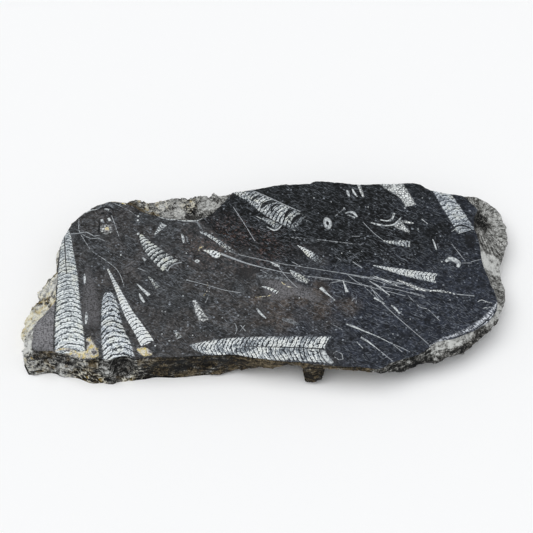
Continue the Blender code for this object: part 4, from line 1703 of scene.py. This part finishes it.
@dataclass
class PolishedFace:
    """The flat polished face, cut along its inlays.

    top: its height.
    inlays: its inlays. Where two overlap, the later one shows.
    """

    top: float
    inlays: tuple[Inlay, ...]

    def cut_into(self, skin: Skin) -> None:
        """Closes the skin's hole with the face.

        Args:
            skin: The skin, which gets the face.
        """
        rim = self._rim(skin)
        if turn_of([(v.co.x, v.co.y) for v in rim]) < 0:
            rim.reverse()
        points: list[Point] = [(v.co.x, v.co.y) for v in rim]
        outlines: list[list[int]] = [list(range(len(rim)))]
        owners = [-1]
        for number, inlay in enumerate(self.inlays):
            for cell in inlay.cells():
                if turn_of(cell) < 0:
                    cell.reverse()
                outlines.append(list(range(len(points), len(points) + len(cell))))
                points.extend(cell)
                owners.append(number)
        sides = [(i, (i + 1) % len(rim)) for i in range(len(rim))]
        made = delaunay_2d_cdt([Vector(p) for p in points], sides, outlines, 1, 1e-4, True)
        places, edges, faces, from_verts, from_edges, from_faces = made
        inner = {i for face, inside in zip(faces, from_faces) if 0 in inside for i in face}
        verts = self._verts(skin, rim, places, inner, edges, from_verts, from_edges)
        layer = skin.loops.layers.float_color.new(PLACE)
        slots = list(Stone)
        for face, inside in zip(faces, from_faces):
            if 0 not in inside:
                continue
            corners = [verts[i] for i in face]
            if len(set(corners)) < 3:
                continue
            made_face = skin.faces.new(corners)
            if made_face.calc_area() > 0 and made_face.normal.z < 0:
                made_face.normal_flip()
            last = max(owners[i] for i in inside)
            if last < 0:
                made_face.material_index = slots.index(Stone.LIMESTONE)
                continue
            inlay = self.inlays[last]
            made_face.material_index = slots.index(inlay.stone)
            for loop in made_face.loops:
                loop[layer] = inlay.locate(loop.vert.co.x, loop.vert.co.y)

    def _rim(self, skin: Skin) -> list[Vert]:
        """Walks round the skin's hole.

        Args:
            skin: The skin.

        Returns:
            The hole's vertices in order.
        """
        start = next(e for e in skin.edges if e.is_boundary)
        loop = [start.verts[0], start.verts[1]]
        while True:
            last, before = loop[-1], loop[-2]
            nearby = [e.other_vert(last) for e in last.link_edges if e.is_boundary]
            step = next(vert for vert in nearby if vert is not before)
            if step is loop[0]:
                return loop
            loop.append(step)

    def _verts(
        self, skin: Skin, rim: list[Vert], places: list[Vector], inner: set[int],
        edges: list[tuple[int, int]], from_verts: list[list[int]], from_edges: list[list[int]],
    ) -> list[Vert]:
        """Makes the face's vertices, and splits the skin's rim where an inlay crosses it.

        Args:
            skin: The skin, which changes.
            rim: The rim's vertices in order.
            places: The face's points.
            inner: The points that the face uses.
            edges: The face's edges.
            from_verts: For each point, the given points that it stands for.
            from_edges: For each edge, the given edges that it is part of.

        Returns:
            A vertex for each of the face's points.
        """
        count = len(rim)
        verts: list[Vert | None] = [None] * len(places)
        for i, given in enumerate(from_verts):
            own = [g for g in given if g < count]
            if own:
                verts[i] = rim[own[0]]
        extra: dict[int, set[int]] = {}
        for (a, b), given in zip(edges, from_edges):
            for side in given:
                if side < count:
                    extra.setdefault(side, set()).update(i for i in (a, b) if verts[i] is None)
        for side, found in extra.items():
            near, far = rim[side], rim[(side + 1) % count]
            for i in sorted(found, key=lambda k: (places[k] - near.co.xy).length):
                edge = next(e for e in near.link_edges if e.other_vert(near) is far)
                gap = (far.co - near.co).length
                share = (places[i] - near.co.xy).length / gap
                _, middle = bmesh.utils.edge_split(edge, near, share)
                verts[i] = middle
                near = middle
        for i, place in enumerate(places):
            if verts[i] is None and i in inner:
                verts[i] = skin.verts.new((place.x, place.y, self.top))
        return verts


@dataclass
class FossilSlab:
    """The whole slab: its broken rim, its underside and its polished face with the fossils.

    name: the name of the piece.
    zones: how its rim looks and breaks, place by place.
    inlays: its face's inlays, of which the later ones lie over the earlier ones.
    """

    name: str = "polished_fossil_slab"
    zones: tuple[RimZone, ...] = RIM_ZONES
    inlays: tuple[Inlay, ...] = (*FILLINGS, *VEINS, *BITS, *SHELLS, *OVERLAYS)

    def finishes(self) -> list[Material]:
        """Builds the slab's materials, in the order of Stone.

        Returns:
            The materials.
        """
        polish = PolishedLimestone()
        ground = polish.group()
        made = {
            Stone.LIMESTONE: polish.material(ground), Stone.RIM: WeatheredRim().material(),
            Stone.UNDERSIDE: SawnUnderside().material(),
        }
        for finish in (*SHELL_FINISHES, *INLAY_FINISHES):
            made[finish.stone] = finish.material(ground)
        return [made[stone] for stone in Stone]

    def build(self) -> bpy.types.Object:
        """Builds the slab.

        Returns:
            The object, in its place.
        """
        packed = frame["nodes"][SLAB_NODE].data
        top = max(v.co.z for v in packed.vertices) * TO_MM
        rim = BrokenRim(self.zones, top)
        skin = rim.skin(packed)
        for face in skin.faces:
            face.smooth = True
            under = rim.is_underside(face)
            face.material_index = list(Stone).index(Stone.UNDERSIDE if under else Stone.RIM)
        PolishedFace(top, self.inlays).cut_into(skin)
        for edge in skin.edges:
            edge.smooth = len({f.smooth for f in edge.link_faces}) == 1
        bmesh.ops.scale(skin, vec=(MM,) * 3, verts=skin.verts)
        mesh = bpy.data.meshes.new(self.name)
        LOG.info("open edges: %d", sum(1 for e in skin.edges if not e.is_manifold))
        skin.to_mesh(mesh)
        skin.free()
        for material in self.finishes():
            mesh.materials.append(material)
        slab = bpy.data.objects.new(self.name, mesh)
        bpy.context.scene.collection.objects.link(slab)
        return slab


SHELL_FINISHES: tuple[ShellCalcite, ...] = (
    ShellCalcite(
        Stone.GREAT_LEFT, bow=1.15, wobble=0.35, septum=0.05, dashes=1.7, mottle=2.1, light="#eff4f4",
        mid="#a3abb0", dark="#3c4145", tint_share=0.42,
    ),
    ShellCalcite(
        Stone.BLUNT_LEFT, bow=1.3, wobble=0.3, septum=0.14, dashes=2.0, mottle=2.0, light="#eef3f5",
        mid="#9ba4ad", tint_share=0.4,
    ),
    ShellCalcite(
        Stone.SLENDER_LEFT, bow=0.5, wobble=0.25, septum=0.05, mottle=1.8, dashes=1.6, tint_share=0.3,
    ),
    ShellCalcite(
        Stone.SHORT_LEFT, bow=0.5, wobble=0.25, septum=0.16, mottle=2.2, dashes=1.6, slope=0.8, clouds=0.5,
        light="#dde2e1", mid="#767b7e", dark="#26292c",
    ),
    ShellCalcite(Stone.GREAT_REAR, bow=0.7, wobble=0.3, septum=0.26, mottle=2.8, dashes=1.8, clouds=0.5),
    ShellCalcite(
        Stone.GREAT_FRONT, bow=1.5, power=1.7, wobble=0.5, septum=0.12, mottle=2.0, clouds=0.55,
        mid="#8e969d", tint_share=0.2,
    ),
    ShellCalcite(
        Stone.CORNER_REAR, bow=0.7, wobble=0.9, septum=0.08, mottle=2.2, line_dark=0.5, light="#dde3e6",
        mid="#8f969e", dark="#343941",
    ),
    ShellCalcite(
        Stone.RIGHT_DART, bow=0.8, wobble=0.4, septum=0.04, mottle=2.2, dashes=1.4, speck=0.5,
        tint_share=0.2,
    ),
    ShellCalcite(Stone.SMALL_DART, bow=0.5, wobble=0.4, septum=0.2, mottle=2.4, fray=0.3),
)

INLAY_FINISHES: tuple[InlaidCalcite | StainedCalcite, ...] = (
    InlaidCalcite(Stone.VEIN, cover=0.75, fray=0.1, light="#c6cbcf", dark="#969ba1", patchy=0.2),
    InlaidCalcite(Stone.FRAGMENT, fray=0.35, light="#d9dedf"),
    InlaidCalcite(Stone.HOLLOW, core_reach=0.36, fray=0.2, dark="#6f7478", size=2.4, patchy=0.5),
    InlaidCalcite(Stone.MUD, light="#1c1e21", dark="#101114", fray=0.5),
    InlaidCalcite(Stone.HAZE, light="#8f9499", dark="#34373b", cover=0.75, fray=0.4, patchy=0.6),
    InlaidCalcite(Stone.CELLS, light="#eef1f0", dark="#9fa4a7", net=3.6, fray=0.25),
    InlaidCalcite(
        Stone.BRUISE, light="#e6ebf2", dark="#2e3542", stretch=3.0, size=1.9, fray=1.0, patchy=0.9,
    ),
    InlaidCalcite(Stone.STAIN, light="#7c7b7e", dark="#353536", size=1.8, cover=0.8, fray=0.35, patchy=0.6),
    StainedCalcite(),
)


# ---------------------------------------------------------------------------------------------------------
# The studio
# ---------------------------------------------------------------------------------------------------------


@dataclass(frozen=True)
class Studio:
    """A pale floor, soft light from above and a camera that looks down on the slab.

    target: the place that the camera looks at, in millimetres.
    distance: how far the camera is from it, in millimetres.
    elevation: how high the camera stands above the horizon, in degrees.
    lens, sensor: the camera's focal length and sensor width, in millimetres.
    floor_size: the floor's width, in metres.
    floor_colour, sky_colour: the floor's colour and the sky's.
    sky_strength, dark_wall_strength: how bright the sky is, and its dark part.
    dark_wall: where the sky is dark, as a direction from the slab.
    sun_direction: where the wide soft light comes from.
    sun_strength, sun_spread: how bright that light is, and how wide, in degrees.
    """

    target: Spot = (-7.4, 4.3, 42.0)
    distance: float = 1456.3
    elevation: float = 50.0
    lens: float = 80.0
    sensor: float = 36.0
    floor_size: float = 14.0
    floor_colour: str = "#ffffff"
    sky_colour: str = "#f4f6f8"
    sky_strength: float = 0.72
    dark_wall: Spot = (0.0, 0.64, 0.77)
    dark_wall_strength: float = 0.16
    sun_direction: Spot = (-0.3, -0.1, 1.0)
    sun_strength: float = 1.6
    sun_spread: float = 60.0

    def build(self) -> None:
        """Builds the floor, the lights and the camera."""
        self._floor()
        self._light()
        self._camera()

    def _floor(self) -> None:
        """Lays the floor that the slab rests on."""
        half = self.floor_size / 2
        mesh = bpy.data.meshes.new("studio_floor")
        corners = [(-half, -half, 0), (half, -half, 0), (half, half, 0), (-half, half, 0)]
        mesh.from_pydata(corners, [], [(0, 1, 2, 3)])
        material, tree = new_material("matt_white_studio_paper")
        Canvas(tree).surface(self.floor_colour, 0.9)
        mesh.materials.append(material)
        floor = bpy.data.objects.new("studio_floor", mesh)
        bpy.context.scene.collection.objects.link(floor)

    def _light(self) -> None:
        """Sets the wide soft light and the sky, whose rear is darker, so that the polish stays black."""
        world = bpy.data.worlds.new("studio_sky")
        world.use_nodes = True
        world.node_tree.nodes.clear()
        nodes = Canvas(world.node_tree)
        towards = nodes.add("TexCoord").outputs["Generated"]
        along = nodes.vector("DOT_PRODUCT", towards, self.dark_wall).outputs["Value"]
        strength = nodes.fit(along, 0.55, 0.9, self.sky_strength, self.dark_wall_strength, smooth=True)
        sky = nodes.add("Background", {"Color": self.sky_colour, "Strength": strength})
        nodes.add("OutputWorld", {"Surface": sky})
        bpy.context.scene.world = world
        lamp = bpy.data.lights.new("studio_softbox", "SUN")
        lamp.energy = self.sun_strength
        lamp.angle = math.radians(self.sun_spread)
        sun = bpy.data.objects.new("studio_softbox", lamp)
        sun.rotation_mode = "QUATERNION"
        sun.rotation_quaternion = Vector(self.sun_direction).to_track_quat("Z", "Y")
        bpy.context.scene.collection.objects.link(sun)

    def _camera(self) -> None:
        """Sets the camera, and the plain colour view."""
        scene = bpy.context.scene
        data = bpy.data.cameras.new("studio_camera")
        data.lens = self.lens
        data.sensor_width = self.sensor
        camera = bpy.data.objects.new("studio_camera", data)
        tilt = math.radians(self.elevation)
        back = Vector((0.0, -math.cos(tilt), math.sin(tilt)))
        camera.location = (Vector(self.target) + back * self.distance) * MM
        camera.rotation_euler = (math.pi / 2 - tilt, 0.0, 0.0)
        scene.collection.objects.link(camera)
        scene.camera = camera
        scene.view_settings.view_transform = "Standard"
        scene.view_settings.look = "None"


def report(piece: bpy.types.Object) -> None:
    """Logs a piece's name and triangle count."""
    piece.data.calc_loop_triangles()
    LOG.info("%s: %d triangles", piece.name, len(piece.data.loop_triangles))


def main() -> None:
    """Builds the slab and its studio."""
    logging.basicConfig(level=logging.INFO, format="%(name)s: %(message)s")
    slab = FossilSlab().build()
    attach(slab, "root")
    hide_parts(SLAB_NODE)
    report(slab)
    Studio().build()


if __name__ == "__main__":
    main()
